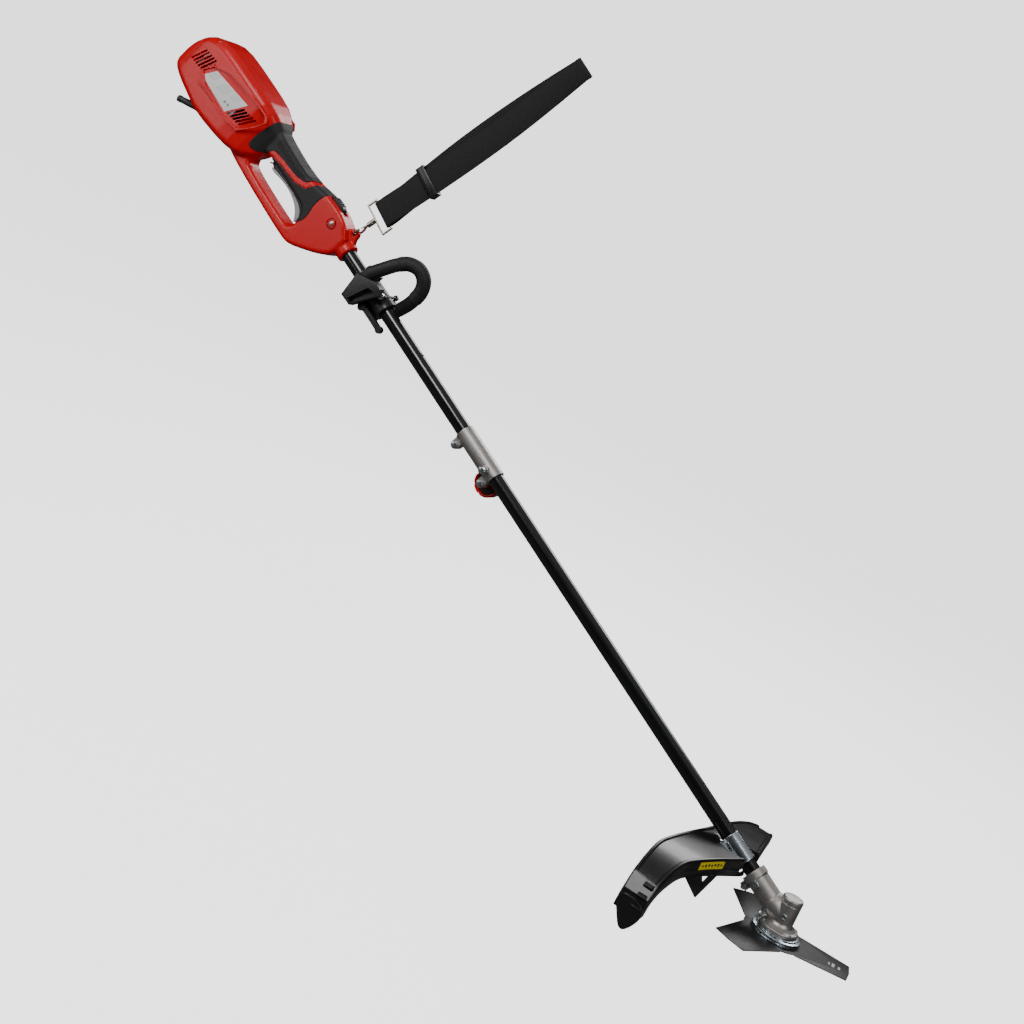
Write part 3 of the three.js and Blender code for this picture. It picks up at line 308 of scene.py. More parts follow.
def slab(name, outlines, half, edge=0.0, y=0.0):
    """A flat solid between two side outlines in X and Z, its long edges rounded."""
    curve = bpy.data.curves.new(name, "CURVE")
    curve.dimensions = "2D"
    curve.fill_mode = "BOTH"
    curve.extrude = half - edge
    curve.bevel_depth = edge
    curve.offset = -edge
    curve.bevel_resolution = 4
    for points in outlines:
        spline = curve.splines.new("POLY")
        spline.points.add(len(points) - 1)
        for point, (x, z) in zip(spline.points, points):
            point.co = (x, z, 0, 1)
        spline.use_cyclic_u = True
    holder = bpy.data.objects.new(name, curve)
    bpy.context.scene.collection.objects.link(holder)
    made = bake(holder)
    made.data.transform(Matrix.Translation((0, y, 0)) @ Matrix.Rotation(math.pi / 2, 4, "X"))
    return outward(made, 1e-3)


def brick(name, low, high):
    """A box between two corners."""
    corners = [(x, y, z) for x in (low[0], high[0]) for y in (low[1], high[1]) for z in (low[2], high[2])]
    faces = [(0, 1, 3, 2), (4, 6, 7, 5), (0, 4, 5, 1), (2, 3, 7, 6), (0, 2, 6, 4), (1, 5, 7, 3)]
    return outward(raw(name, corners, faces))


def lathe(name, profile, sides=96, axis="X", at=(0, 0, 0)):
    """Turns a closed profile of [distance along the axis, radius] about that axis."""
    count = len(profile)
    verts = []
    for i in range(sides):
        a = math.tau * i / sides
        for d, r in profile:
            c, s = r * math.cos(a), r * math.sin(a)
            spot = {"X": (d, c, s), "Y": (c, d, s), "Z": (c, s, d)}[axis]
            verts.append([spot[k] + at[k] for k in range(3)])
    faces = []
    for i in range(sides):
        j = (i + 1) % sides
        for k in range(count):
            n = (k + 1) % count
            faces.append((i * count + k, i * count + n, j * count + n, j * count + k))
    made = raw(name, verts, faces)

    def clean(work):
        bmesh.ops.remove_doubles(work, verts=work.verts, dist=1e-4)
        bmesh.ops.dissolve_degenerate(work, edges=work.edges, dist=1e-5)
        bmesh.ops.recalc_face_normals(work, faces=work.faces)
    return edit(made, clean)


def rod(name, radius, start, end, axis="X", at=(0, 0, 0), sides=48):
    return lathe(name, [(start, 0), (start, radius), (end, radius), (end, 0)], sides, axis, at)


def finish(obj, name, body, material, place=TOOL, nodes=(), limit=35):
    """Puts a piece in its place on its body and gives it its finish."""
    obj.name = name
    obj.data.transform(place)
    obj.data.materials.clear()
    obj.data.materials.append(material)
    obj.data.shade_smooth()
    obj.data.set_sharp_from_angle(angle=math.radians(limit))
    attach(obj, body)
    if nodes:
        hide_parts(*nodes)
    return obj


def behind_nose(points):
    return [[NOSE + x, z] for x, z in points]


# Sections of the motor barrel: [behind the nose, top, bottom, half width].
BARREL = [
    [-471, -18, -52, 34], [-470, -9, -57, 38], [-466, 5, -61, 41], [-459, 19, -64, 43], [-448, 31, -67, 44.5],
    [-432, 39.5, -70.5, 45], [-410, 44, -74, 45], [-380, 45.5, -79, 45], [-345, 46, -77, 45], [-310, 46.2, -73, 44.5],
    [-285, 45.5, -69, 42], [-264, 42, -63, 37], [-250, 37, -54, 31], [-240, 32, -44, 26], [-232, 26, -30, 20],
]


TOP_ROUND, LOW_ROUND, CORNER_STEPS = 17.0, 13.0, 9


def ring_of(top, bottom, half):
    """One section of the barrel: a box with large corners above and smaller ones below."""
    upper = min(TOP_ROUND, half * 0.7, (top - bottom) * 0.45)
    lower = min(LOW_ROUND, half * 0.6, (top - bottom) * 0.4)
    points = []
    corners = [
        (half - upper, top - upper, upper, 0), (-half + upper, top - upper, upper, 90),
        (-half + lower, bottom + lower, lower, 180), (half - lower, bottom + lower, lower, 270),
    ]
    for cy, cz, r, start in corners:
        for k in range(CORNER_STEPS + 1):
            a = math.radians(start + 90 * k / CORNER_STEPS)
            points.append((cy + r * math.cos(a), cz + r * math.sin(a)))
    return points


def loft(name, stations):
    """A closed skin over rings of equal count, each [x, ring]."""
    verts = [(x, y, z) for x, ring in stations for y, z in ring]
    count = len(stations[0][1])
    faces = []
    for i in range(len(stations) - 1):
        for k in range(count):
            n = (k + 1) % count
            faces.append((i * count + k, i * count + n, (i + 1) * count + n, (i + 1) * count + k))
    faces.append(tuple(range(count)))
    last = (len(stations) - 1) * count
    faces.append(tuple(last + k for k in range(count)))
    return outward(raw(name, verts, faces))


barrel = loft("barrel", [[NOSE + x, ring_of(top, low, half)] for x, top, low, half in BARREL])
HANDLE_OUT = soften(behind_nose([
    [-330, 20], [-262, 30], [-228, 26], [-180, 23], [-138, 24], [-107, 30], [-88, 35], [-52, 37], [-24, 32],
    [-13, 22], [-2, 18], [-2, -17], [-14, -33], [-30, -47], [-58, -67], [-76, -78], [-94, -81], [-195, -79],
    [-283, -74], [-330, -60],
]), 2)
OPENING = soften(behind_nose([
    [-243, -22], [-230, -14], [-112, -14], [-100, -22], [-92, -42], [-99, -58], [-114, -61.5], [-228, -60],
    [-243, -53],
]), 2)
handle = slab("handle", [HANDLE_OUT, OPENING], 20.5, 6.5)
boss = slab("boss", [soften(behind_nose([
    [-396, -60], [-392, -82], [-379, -90], [-366, -88], [-320, -79], [-270, -68], [-300, -50],
]), 1)], 13, 5)
nose_sleeve = rod("nose_sleeve", 19, NOSE - 40, NOSE + 11.5)
lug = slab("lug", [soften(behind_nose([
    [-24, 20], [-18, 34], [-13, 40], [-5, 40], [0.5, 35], [1, 27], [6, 19], [6, 8], [-24, 8],
]), 2)], 5, 1.6)
shell = join("shell", [barrel, handle, boss, nose_sleeve, lug])
modify(shell, "REMESH", mode="VOXEL", voxel_size=1.45)
modify(shell, "SMOOTH", factor=0.5, iterations=5)
bake(shell)
core = raw("core", [], [])
core.data = shell.data.copy()

# Cut-outs: seam grooves, a shallow panel on each side, three rows of vents, the trigger and button slots,
# the tube's bore and the strap eyelet.
PANEL = soften(behind_nose([[-424, -33], [-398, 14], [-300, 32], [-250, 33], [-262, 0], [-292, -42]]), 1)
for opening in (
    brick("seam", (NOSE - 480, -0.25, -100), (NOSE + 12, 0.25, 60)),
    rod("bore", 13.3, NOSE - 84, NOSE + 30),
    rod("eyelet", 4.0, -20, 20, "Y", (NOSE - 9, 0, 31), 32),
    brick("trigger_slot", (NOSE - 216, -8.6, -30), (NOSE - 96, 8.6, -8.5)),
    brick("button_slot", (NOSE - 88, -7, 26.5), (NOSE - 43, 7, 60)),
):
    shell = carve(shell, opening)


def bars_tree():
    """A row of upright bars in X and Z: how many, the step between them, and the size of each."""
    tree = bpy.data.node_groups.new("row_of_bars", "GeometryNodeTree")
    face = tree.interface
    face.new_socket("Geometry", in_out="INPUT", socket_type="NodeSocketGeometry")
    for title, kind in (("Count", "NodeSocketInt"), ("Start", "NodeSocketVector"), ("Step", "NodeSocketVector"),
                        ("Size", "NodeSocketVector"), ("Turn", "NodeSocketVector"),
                        ("Finish", "NodeSocketMaterial")):
        face.new_socket(title, in_out="INPUT", socket_type=kind)
    face.new_socket("Geometry", in_out="OUTPUT", socket_type="NodeSocketGeometry")
    nodes, links = tree.nodes, tree.links
    given = nodes.new("NodeGroupInput").outputs
    line = nodes.new("GeometryNodeMeshLine")
    cube = nodes.new("GeometryNodeMeshCube")
    turned = nodes.new("GeometryNodeInstanceOnPoints")
    plain = nodes.new("GeometryNodeRealizeInstances")
    dyed = nodes.new("GeometryNodeSetMaterial")
    result = nodes.new("NodeGroupOutput")
    links.new(given["Count"], line.inputs["Count"])
    links.new(given["Start"], line.inputs["Start Location"])
    links.new(given["Step"], line.inputs["Offset"])
    links.new(given["Size"], cube.inputs["Size"])
    links.new(line.outputs["Mesh"], turned.inputs["Points"])
    links.new(cube.outputs["Mesh"], turned.inputs["Instance"])
    links.new(given["Turn"], turned.inputs["Rotation"])
    links.new(turned.outputs["Instances"], plain.inputs["Geometry"])
    links.new(plain.outputs["Geometry"], dyed.inputs["Geometry"])
    links.new(given["Finish"], dyed.inputs["Material"])
    links.new(dyed.outputs["Geometry"], result.inputs["Geometry"])
    return tree


BARS = bars_tree()


def bars(name, count, start, step, size, turn=(0, 0, 0)):
    """Runs the bar tree on an empty mesh and keeps the plain result."""
    made = raw(name, [], [])
    modifier = made.modifiers.new("bars", "NODES")
    modifier.node_group = BARS
    given = {"Count": count, "Start": start, "Step": step, "Size": size, "Turn": turn, "Finish": PAINTED_SHADE_BLACK}
    for item in BARS.interface.items_tree:
        if item.in_out == "INPUT" and item.name in given:
            modifier[item.identifier] = given[item.name]
    made.update_tag()
    return outward(bake(made))


WALL_Y = 45.0
VENT_ROWS = [  # name, bars, first bar behind the nose and its height, step, size of a bar, lean
    ("rear_vents", 5, (-441, -9), (6.9, 0, 0.8), (3.9, 9, 36), math.radians(20)),
    ("square_vents", 5, (-417, -21), (3.4, 0, 6.2), (2.6, 9, 3), math.radians(12)),
    ("front_vents", 5, (-311, -12), (7.2, 0, 1.3), (4.3, 22, 36), math.radians(30)),
    ("panel_grooves", 3, (-357, -34), (1.6, 0, -2.0), (96, 4.4, 0.7), -0.09),
]
for side in (-1, 1):
    shell = carve(shell, slab("panel", [PANEL], 2.6, 0.7, (WALL_Y + 0.2) * side))
    for name, count, (x, z), step, size, lean in VENT_ROWS:
        shell = carve(shell, bars(name, count, (NOSE + x, WALL_Y * side, z), step, size, (0, lean, 0)))
shell = carve(shell, brick("cap_seam", (NOSE - 452.4, -60, -120), (NOSE - 452.0, 60, 80)))
finish(shell, "housing_shell", "frame", RED, nodes=["housing_right", "housing_left", "rear_cap"],
       limit=50)


# A shallow boss ring with its screw near the nose on each side; the other screws lie under the grip and label.
SCREW_STEEL = surface("screw_steel", (0.56, 0.55, 0.52), 0.3, metal=1.0, grain=1200, depth=0.02, marks=0.1)


def screw_head(name, radius, height, y, x, z, side):
    """A cross-recessed pan head, its axis along Y."""
    head = lathe(name, [(y, 0), (y, radius), (y + side * height * 0.5, radius), (y + side * height, radius * 0.62),
                        (y + side * height * 1.08, 0)], 40, "Y", (x, 0, z))
    slot_long = radius * 0.55
    for turn in (20, 110):
        bar = brick("bar", (-slot_long, -height, -0.35), (slot_long, height * 0.7, 0.35))
        bar.data.transform(Matrix.Translation((x, y + side * height, z)) @
                           Matrix.Rotation(math.radians(turn), 4, "Y"))
        carve(head, bar)
    return head


inner_panel = np.array(PANEL)
inner_panel = (inner_panel.mean(0) + (inner_panel - inner_panel.mean(0)) * (0.955, 0.90)).tolist()
beads = [slab("bead", [PANEL, inner_panel], 1.5, 0.6, 44.3 * side) for side in (-1, 1)]
finish(join("beads", beads), "panel_borders", "frame", RED)

BOSS_X, BOSS_Z = NOSE - 44, 13
rings = []
screws = []
for side in (-1, 1):
    face = 21.0 * side
    ring = lathe("ring", [(face - side * 2, 5.0), (face - side * 2, 8.2), (face + side * 0.5, 8.2),
                          (face + side * 0.9, 7.6), (face + side * 0.9, 5.6), (face + side * 0.4, 5.0)],
                 48, "Y", (BOSS_X, 0, BOSS_Z))
    ring.data.transform(Matrix.Translation((BOSS_X, 0, 0)) @ Matrix.Diagonal((0.86, 1, 1, 1)) @
                        Matrix.Translation((-BOSS_X, 0, 0)))
    rings.append(ring)
    screws.append(screw_head("boss_screw", 4.9, 1.8, face - side * 0.5, BOSS_X, BOSS_Z, side))
# A thin black ring round each boss is painted shadow: it stands for the dark gap between the boss and the shell.
gap_shadow_rings = [lathe("gap", [(20.0 * side, 8.5), (20.8 * side, 8.5), (20.8 * side, 9.5), (20.0 * side, 9.5)], 48, "Y",
              (BOSS_X, 0, BOSS_Z)) for side in (-1, 1)]
finish(join("boss_gaps", gap_shadow_rings), "screw_boss_gaps", "frame", PAINTED_SHADE_BLACK)
finish(join("boss_rings", rings), "screw_boss_rings", "frame", RED)
finish(join("boss_screws", screws), "housing_screws", "frame", SCREW_STEEL)

# ---------- Rating label ----------
# A thin polyester label stuck in the recess of the right-hand panel. It is printed with plain bars and no
# words.
LABEL_WHITE = surface("label_film", (0.78, 0.79, 0.78), 0.34, grain=700, depth=0.01, tone=0.04)
LABEL_GREY = surface("label_ink", (0.30, 0.31, 0.32), 0.5, grain=700, depth=0.01)
LABEL_Y = -43.2
label = slab("label", [behind_nose([[-409, -27], [-393, 1], [-303, 13], [-327, -30]])], 0.2, 0.05, LABEL_Y)
finish(label, "rating_label", "frame", LABEL_WHITE)
LABEL_ROWS = [  # bars, first bar behind the nose and its height, step, size of a bar, lean
    (5, (-392, -14), (1.4, 0, 3.4), (18, 0.1, 0.7), -0.13),
    (6, (-362, -16), (1.7, 0, 3.6), (22, 0.1, 0.6), -0.13),
    (3, (-332, -4), (1.7, 0, 4.6), (20, 0.1, 0.6), -0.13),
    (2, (-340, -19), (9, 0, 1.4), (5, 0.1, 5), 0.5),
]
ink = [bars("ink", count, (NOSE + x, LABEL_Y - 0.21, z), step, size, (0, lean, 0))
       for count, (x, z), step, size, lean in LABEL_ROWS]
finish(join("label_marks", ink), "rating_label_marks", "frame", LABEL_GREY)

# ---------- Vent shade sheets ----
# A thin black sheet inside each side wall, behind the vents, is painted shade. It stands for the shadow in the air
# room in there and closes the view onto the motor.
for side, title in ((-1, "right"), (1, "left")):
    liner = slab("liner", [behind_nose([[-440, -34], [-434, 18], [-290, 22], [-300, -34]])], 0.8, 0.1, 40.0 * side)
    finish(liner, "vent_liner_" + title, "frame", PAINTED_SHADE_BLACK)

# ---------- Soft grip ----------
# Thermoplastic rubber moulded over the rear handle in two fields, with a raised red stripe between them and
# fine ribs across the top of the upper field.
RUBBER = surface("grip_rubber", (0.014, 0.014, 0.015), 0.62, grain=1100, depth=0.05, tone=0.2, spread=0.12)


def skin_of(mesh):
    """The points of a mesh and their normals."""
    found = []
    for kind in ("co", "normal"):
        values = np.empty(len(mesh.vertices) * 3)
        mesh.vertices.foreach_get(kind, values)
        found.append(values.reshape(-1, 3))
    return found


def field(name, outline_points, swell, voxel, times=2):
    """The part of the handle inside a side outline, swollen outwards."""
    made = raw(name, [], [])
    made.data = core.data.copy()
    places, normals = skin_of(made.data)
    made.data.vertices.foreach_set("co", (places + normals * swell).ravel())
    made = carve(made, slab("prism", [soften(behind_nose(outline_points), times)], 60), "INTERSECT")
    modify(made, "REMESH", mode="VOXEL", voxel_size=voxel)
    modify(made, "SMOOTH", factor=0.5, iterations=3)
    return bake(made)


upper = field("upper", [[-250, 36], [-249, 60], [-121, 60], [-124, 36], [-135, 8], [-216, 3], [-222, -9],
                        [-238, -30], [-260, -32]], 1.4, 0.8)
skin, away = skin_of(upper.data)
behind = skin[:, 0] - NOSE
RIB_PITCH, RIB_DEPTH = 4.2, 0.75
RIBS_FROM, RIBS_TO, RIBS_LOW = -226, -136, 7
edge_in = np.clip((behind - RIBS_FROM) / 4, 0, 1) * np.clip((RIBS_TO - behind) / 4, 0, 1)
edge_in *= np.clip((skin[:, 2] - RIBS_LOW) / 3, 0, 1)
pulse = np.clip(np.sin(math.tau * behind / RIB_PITCH) * 1.6 + 0.3, 0, 1)
skin -= away * (RIB_DEPTH * pulse * edge_in * (np.abs(away[:, 0]) < 0.5))[:, None]
upper.data.vertices.foreach_set("co", skin.ravel())
finish(upper, "grip_upper_field", "frame", RUBBER, nodes=["grip_skin"], limit=60)

front = field("front", [[-211, -6.5], [-128, -0.5], [-113, 36], [-112, 60], [-88, 60], [-88, 40], [-93, 10],
                        [-84, -20], [-90, -40], [-101, -44], [-108, -24], [-114, -18], [-212, -18]],
              1.2, 0.9, times=1)
front = carve(front, brick("slot", (NOSE - 216, -8.6, -60), (NOSE - 88, 8.6, -9)))
finish(front, "grip_front_field", "frame", RUBBER, limit=45)

stripe = field("stripe", [[-225, -9], [-217, 2.6], [-134, 7.6], [-122, 36], [-121, 60], [-112.5, 60],
                          [-113.5, 36], [-128.5, 0], [-212, -6], [-217, -12]], 0.9, 0.8, times=1)
finish(stripe, "grip_red_stripe", "frame", RED, limit=60)
bpy.data.objects.remove(core)

# ---------- Trigger and lock-off button ----------
# A long finger trigger on a steel pin: a black nylon lever with a pale grey face. Above the nose is the
# lock-off button, a black slide with ribs for the thumb.
PALE_GREY = surface("trigger_plastic", (0.42, 0.43, 0.44), 0.38, grain=1300, depth=0.02, tone=0.06)
BLACK_PLASTIC = surface("black_nylon", (0.013, 0.013, 0.014), 0.42, grain=1000, depth=0.05, tone=0.15, marks=0.08)
trigger = slab("trigger", [soften(behind_nose([
    [-214, -16], [-210, -24], [-196, -27], [-180, -23.5], [-160, -22], [-140, -23.4], [-123, -29], [-110, -39],
    [-103, -47], [-99, -45], [-101, -34], [-108, -22.5], [-116, -18.5], [-160, -16.5], [-208, -14.5],
]), 2)], 6.9, 1.2)
finish(trigger, "trigger_body", "trigger", BLACK_PLASTIC, nodes=["trigger"])
crescent = slab("crescent", [soften(behind_nose([
    [-207, -26], [-204, -29.5], [-195, -30.4], [-180, -26.4], [-160, -24.6], [-140, -26.2], [-122, -32],
    [-108, -43], [-103, -51], [-98.6, -47.5], [-99.6, -38], [-108, -28], [-122, -22.6], [-140, -20.4],
    [-160, -20.2], [-184, -22.4],
]), 2)], 7.8, 2.0)
finish(crescent, "trigger_face", "trigger", PALE_GREY)

button = slab("button", [soften(behind_nose([
    [-84, 28], [-84, 39], [-79, 42], [-60, 42.5], [-52, 39], [-51, 28],
]), 1)], 6.2, 1.0)
ridges = bars("ridges", 5, (NOSE - 78, 0, 42.4), (4.2, 0, 0.1), (1.5, 10.5, 1.6))
finish(join("button", [button, ridges]), "thumb_slide", "lock_off_button", BLACK_PLASTIC,
       nodes=["lock_off_button"])

# ---------- Cable sleeve ----------
# A rubber strain relief, pushed into the boss under the motor. It ends as a short open sleeve, and no cord
# comes out of it.
SLEEVE_RUBBER = surface("sleeve_rubber", (0.022, 0.023, 0.026), 0.5, grain=900, depth=0.05, tone=0.15)
sleeve = lathe("sleeve", [(-26, 3.2), (-26, 5.6), (-25.3, 6.3), (-20, 6.3), (-19.4, 5.9), (24, 6.4), (26, 6.4),
                          (26, 3.2)], 64)
sleeve.data.transform(Matrix.Translation((NOSE - 408, -8, -93)) @ Matrix.Rotation(math.radians(-27), 4, "Y"))
finish(sleeve, "strain_relief", "frame", SLEEVE_RUBBER, nodes=["cable_sleeve"])

# ---------- Tubes ----------
# Two steel tubes in black gloss paint, 26 mm outside and 23 mm inside. The upper one carries a small
# plated rivet, and ends in the coupling where the lower one slides in.
TUBE_PAINT = surface("black_gloss_paint", (0.006, 0.006, 0.0065), 0.20, coat=0.4, grain=500, depth=0.001,
                     tone=0.1, spread=0.05, stretch=(0.05, 1, 1))
TUBE_OUT, TUBE_IN, TUBE_EDGE = 13, 11.5, 0.3
for title, body, low, high in (("upper_tube", "frame", -1402, -885), ("lower_tube", "lower_unit", -880, -46)):
    tube = lathe(title, [(low, TUBE_IN), (low, TUBE_OUT - TUBE_EDGE), (low + TUBE_EDGE, TUBE_OUT),
                         (high - TUBE_EDGE, TUBE_OUT), (high, TUBE_OUT - TUBE_EDGE), (high, TUBE_IN)], 128)
    finish(tube, title + "_painted", body, TUBE_PAINT, nodes=[title])
NICKEL = surface("warm_nickel", (0.50, 0.45, 0.38), 0.24, metal=1.0, grain=900, depth=0.02, tone=0.12, marks=0.1)
rivet = lathe("rivet", [(12.6, 0), (12.6, 3.5), (13.5, 3.5), (14.8, 2.2), (15.1, 0)], 32, "Z", (-1088, 0, 0))
finish(rivet, "tube_rivet_head", "frame", NICKEL, nodes=["tube_rivet"])

# ---------- D loop handle ----------
# A bent tube in a black rubber sleeve with fine ribs over its bend. Its ends go into the saddle, the rear
# one higher than the front one.
LOOP_POINTS = [[NOSE + x, y, z] for x, y, z in (
    (73, -26.3, 22), (81, -21, 44), (90, -14, 68), (102, -8, 86), (120, -1, 93), (136, 7, 85), (144, 15, 66),
    (143, 23, 40), (139, 27, 20), (135, 26.3, 4),
)]


def curve_through(points, each=24):
    """Points on a Catmull-Rom curve through the given ones."""
    given = [np.array(p, float) for p in points]
    given = [2 * given[0] - given[1]] + given + [2 * given[-1] - given[-2]]
    found = []
    for a, b, c, d in zip(given, given[1:], given[2:], given[3:]):
        for k in range(each):
            t = k / each
            found.append(0.5 * (2 * b + (c - a) * t + (2 * a - 5 * b + 4 * c - d) * t * t +
                                (3 * b - a - 3 * c + d) * t ** 3))
    found.append(given[-2])
    return np.array(found)


def even(points, count):
    """The same curve at equal steps."""
    steps = np.r_[0, np.cumsum(np.linalg.norm(np.diff(points, axis=0), axis=1))]
    at = np.linspace(0, steps[-1], count)
    return np.stack([np.interp(at, steps, points[:, k]) for k in range(3)], 1), at


def sweep(name, points, radius_at, sides=40):
    """A closed tube along points. radius_at takes the distance along it."""
    gone = np.r_[0, np.cumsum(np.linalg.norm(np.diff(points, axis=0), axis=1))]
    tangent = np.gradient(points, axis=0)
    tangent /= np.linalg.norm(tangent, axis=1)[:, None]
    side = np.cross(tangent[0], (0.3, 1, 0.2))
    side /= np.linalg.norm(side)
    verts, faces = [], []
    for i, (spot, ahead) in enumerate(zip(points, tangent)):
        side = side - ahead * side.dot(ahead)
        side /= np.linalg.norm(side)
        other = np.cross(ahead, side)
        r = radius_at(gone[i])
        for k in range(sides):
            a = math.tau * k / sides
            verts.append(spot + r * (math.cos(a) * side + math.sin(a) * other))
    for i in range(len(points) - 1):
        for k in range(sides):
            n = (k + 1) % sides
            faces.append((i * sides + k, i * sides + n, (i + 1) * sides + n, (i + 1) * sides + k))
    faces.append(tuple(range(sides)))
    last = (len(points) - 1) * sides
    faces.append(tuple(last + k for k in range(sides)))
    return outward(raw(name, verts, faces))


loop_line, loop_at = even(curve_through(LOOP_POINTS), 520)
loop_length = loop_at[-1]


LOOP_RADIUS, SLEEVE_SWELL = 11.9, 0.5
RIDGE_HEIGHT, RIDGE_PITCH = 0.55, 3.0
RIBBED_FROM, RIBBED_TO = 0.27 * loop_length, 0.78 * loop_length


def loop_radius(s):
    inside = min(1, max(0, (s - RIBBED_FROM) / 3), max(0, (RIBBED_TO - s) / 3))
    ridge = RIDGE_HEIGHT * inside * max(0, math.sin(math.tau * s / RIDGE_PITCH))
    return LOOP_RADIUS + SLEEVE_SWELL * inside + ridge


loop = sweep("loop", loop_line, loop_radius, 48)
finish(loop, "loop_grip", "loop", RUBBER, nodes=["loop_handle"], limit=40)


# ---------- Loop handle saddle, block and bolts ----------
# Glass-filled nylon clamp halves round the tube, with a plated cross bolt and a cam lever under them. These
# and other turned, pressed and cast pieces keep their solid shape, with rounded edges and a real finish.
OBJECT = Matrix.Scale(0.001, 4)


def copied(node):
    """The CAD node's mesh in millimetres, merged."""
    made = raw(node + "_copy", [], [])
    made.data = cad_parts[node].data.copy()
    made.data.transform(Matrix.Scale(1000, 4))
    return outward(made, 0.01)


def dress(node, name, body, material, width=0.3):
    """A copy with bevelled edges."""
    made = copied(node)
    modify(made, "BEVEL", width=width, segments=2, limit_method="ANGLE", angle_limit=math.radians(36))
    return finish(bake(made), name, body, material, OBJECT, [node], 40)


def soft_copy(node, name, body, material, voxel=0.7, times=3, swell=0.0):
    """A copy with cast, rounded edges."""
    made = copied(node)
    modify(made, "REMESH", mode="VOXEL", voxel_size=voxel)
    modify(made, "SMOOTH", factor=0.5, iterations=times)
    if swell:
        modify(made, "DISPLACE", strength=swell, mid_level=0.0)
    return finish(bake(made), name, body, material, OBJECT, [node], 60)


ZINC_PLATED = surface("zinc_plate", (0.60, 0.66, 0.70), 0.26, metal=1.0, grain=700, depth=0.003, tone=0.08,
                      marks=0.05)
BLACK_SATIN = surface("black_glass_nylon", (0.013, 0.013, 0.014), 0.36, grain=1200, depth=0.04, tone=0.15,
                      marks=0.06)

soft_copy("handle_saddle", "loop_saddle", "loop", BLACK_SATIN, 0.65, 3)
block = slab("block", [behind_nose([[62, 10], [71, -36], [95, -35], [121, 20], [112, 28], [97, 28]])],
             8.5, 1.2, -29.5)
carve(block, slab("pocket", [behind_nose([[84, -30], [94, -30], [116, 19], [96, 12]])], 9, 0.5, -37))
finish(block, "loop_wedge_block", "loop", BLACK_SATIN, nodes=["handle_block"])
soft_copy("release_lever", "cam_lever", "release_lever", BLACK_SATIN, 0.5, 3)
dress("loop_bolt", "loop_clamp_bolt", "loop", ZINC_PLATED, 0.5)
dress("loop_bolt_nut", "loop_clamp_nut", "loop", NICKEL, 0.5)
dress("cam_bolt", "cross_bolt", "loop", ZINC_PLATED, 0.3)

# ---------- Tube coupling ----------
# A split aluminium casting that clamps both tubes: a plated bolt and nut hold it on the upper tube, and
# the red hand knob tightens it on the lower one. A spring pin in it locks the lower tube.
CAST = surface("cast_aluminium_skin", (0.44, 0.415, 0.395), 0.44, metal=0.9, grain=1600, depth=0.10, tone=0.14,
               spread=0.12, marks=0.1)
soft_copy("tube_coupling", "coupling_casting", "frame", CAST, 0.6, 3)
for node, name in (("ear_bolt_back", "coupling_bolt_back"), ("ear_bolt_front", "coupling_stud_front"),
                   ("ear_nut_back", "coupling_nut_back")):
    dress(node, name, "frame", ZINC_PLATED, 0.4)
dress("lock_pin", "spring_pin", "lock_pin", ZINC_PLATED, 0.5)
soft_copy("clamp_knob", "hand_knob", "clamp_knob", RED, 0.55, 2, 1.0)
KNOB_X, KNOB_Z = -848, -24.3
web = lathe("web", [(18.6, 10.5), (18.6, 18.5), (20.4, 18.5), (20.4, 10.5)], 64, "Y", (KNOB_X, 0, KNOB_Z))
finish(web, "knob_black_insert", "clamp_knob", BLACK_SATIN)

# ---------- Gearbox ----------
# Sand-cast aluminium: a split collar, pinched on the tube by a screw, meets an upright barrel over a round
# flange. Four screws hold the flange, and a plug on the side closes the grease hole.
LEVEL_TO_TOOL = TOOL.inverted() @ LEVEL
COLLAR_BACK = -84
SCREW_CIRCLE = 28.4
collar = rod("collar", 18.0, -76, -12)
collar_rim = lathe("collar_rim", [(COLLAR_BACK, 0), (COLLAR_BACK, 19.2), (COLLAR_BACK + 1, 19.9), (-72, 19.9),
                                  (-70, 18), (-70, 0)], 72)
collar_step = lathe("collar_step", [(-34, 0), (-33, 19.2), (-26, 19.6), (-14, 18.6), (-8, 17), (-8, 0)], 72)
ear = brick("ear", (-80.5, -6, -27.5), (-65.5, 6, -14))
ear_round = lathe("ear_round", [(-6, 0), (-6, 5.4), (6, 5.4), (6, 0)], 40, "Y", (-73, 0, -24.2))
elbow = rod("elbow", 16.6, -20, 4)
barrel_profile = [
    (-20, 0), (-20, 31.2), (-19.2, 32), (-15, 32), (-14, 31.2), (-12.4, 26), (-9, 20.4), (-5, 17.9), (26, 17.5),
    (27, 17.5), (27.6, 16.9), (28.6, 16.9), (29.2, 17.5), (35, 17.3), (37, 15.6), (37.8, 12.6), (38, 0),
]
barrel_body = lathe("barrel_body", barrel_profile, 96, "Z")
gusset = slab("gusset", [[[-26, -16], [-8, 10], [-2, 6], [-2, -18]]], 4.5, 1)
for level_piece in (barrel_body, gusset):
    level_piece.data.transform(LEVEL_TO_TOOL)
casting = join("casting", [collar, collar_rim, collar_step, ear, ear_round, elbow, barrel_body, gusset])
modify(casting, "REMESH", mode="VOXEL", voxel_size=0.62)
modify(casting, "SMOOTH", factor=0.5, iterations=3)
casting = bake(casting)
carve(casting, rod("tube_bore", 13.2, -95, -46))
carve(casting, brick("split", (-95, -0.9, -45), (-58, 0.9, -5)))
finish(casting, "gearbox_housing", "lower_unit", CAST, nodes=["gearbox_casting"], limit=50)
plug_profile = [(-16.5, 0), (-16.5, 4.6), (-19.6, 4.6), (-20.2, 4.0), (-20.4, 2.4), (-19.7, 2.1), (-19.7, 0)]
plug = lathe("plug", plug_profile, 40, "Y", (3, 0, 8))
finish(plug, "grease_plug_head", "lower_unit", ZINC_PLATED, LEVEL, ["grease_plug"])
dress("collar_pinch_screw", "pinch_screw", "lower_unit", ZINC_PLATED, 0.35)
dress("collar_stop_screw", "stop_screw", "lower_unit", ZINC_PLATED, 0.35)
seats = []
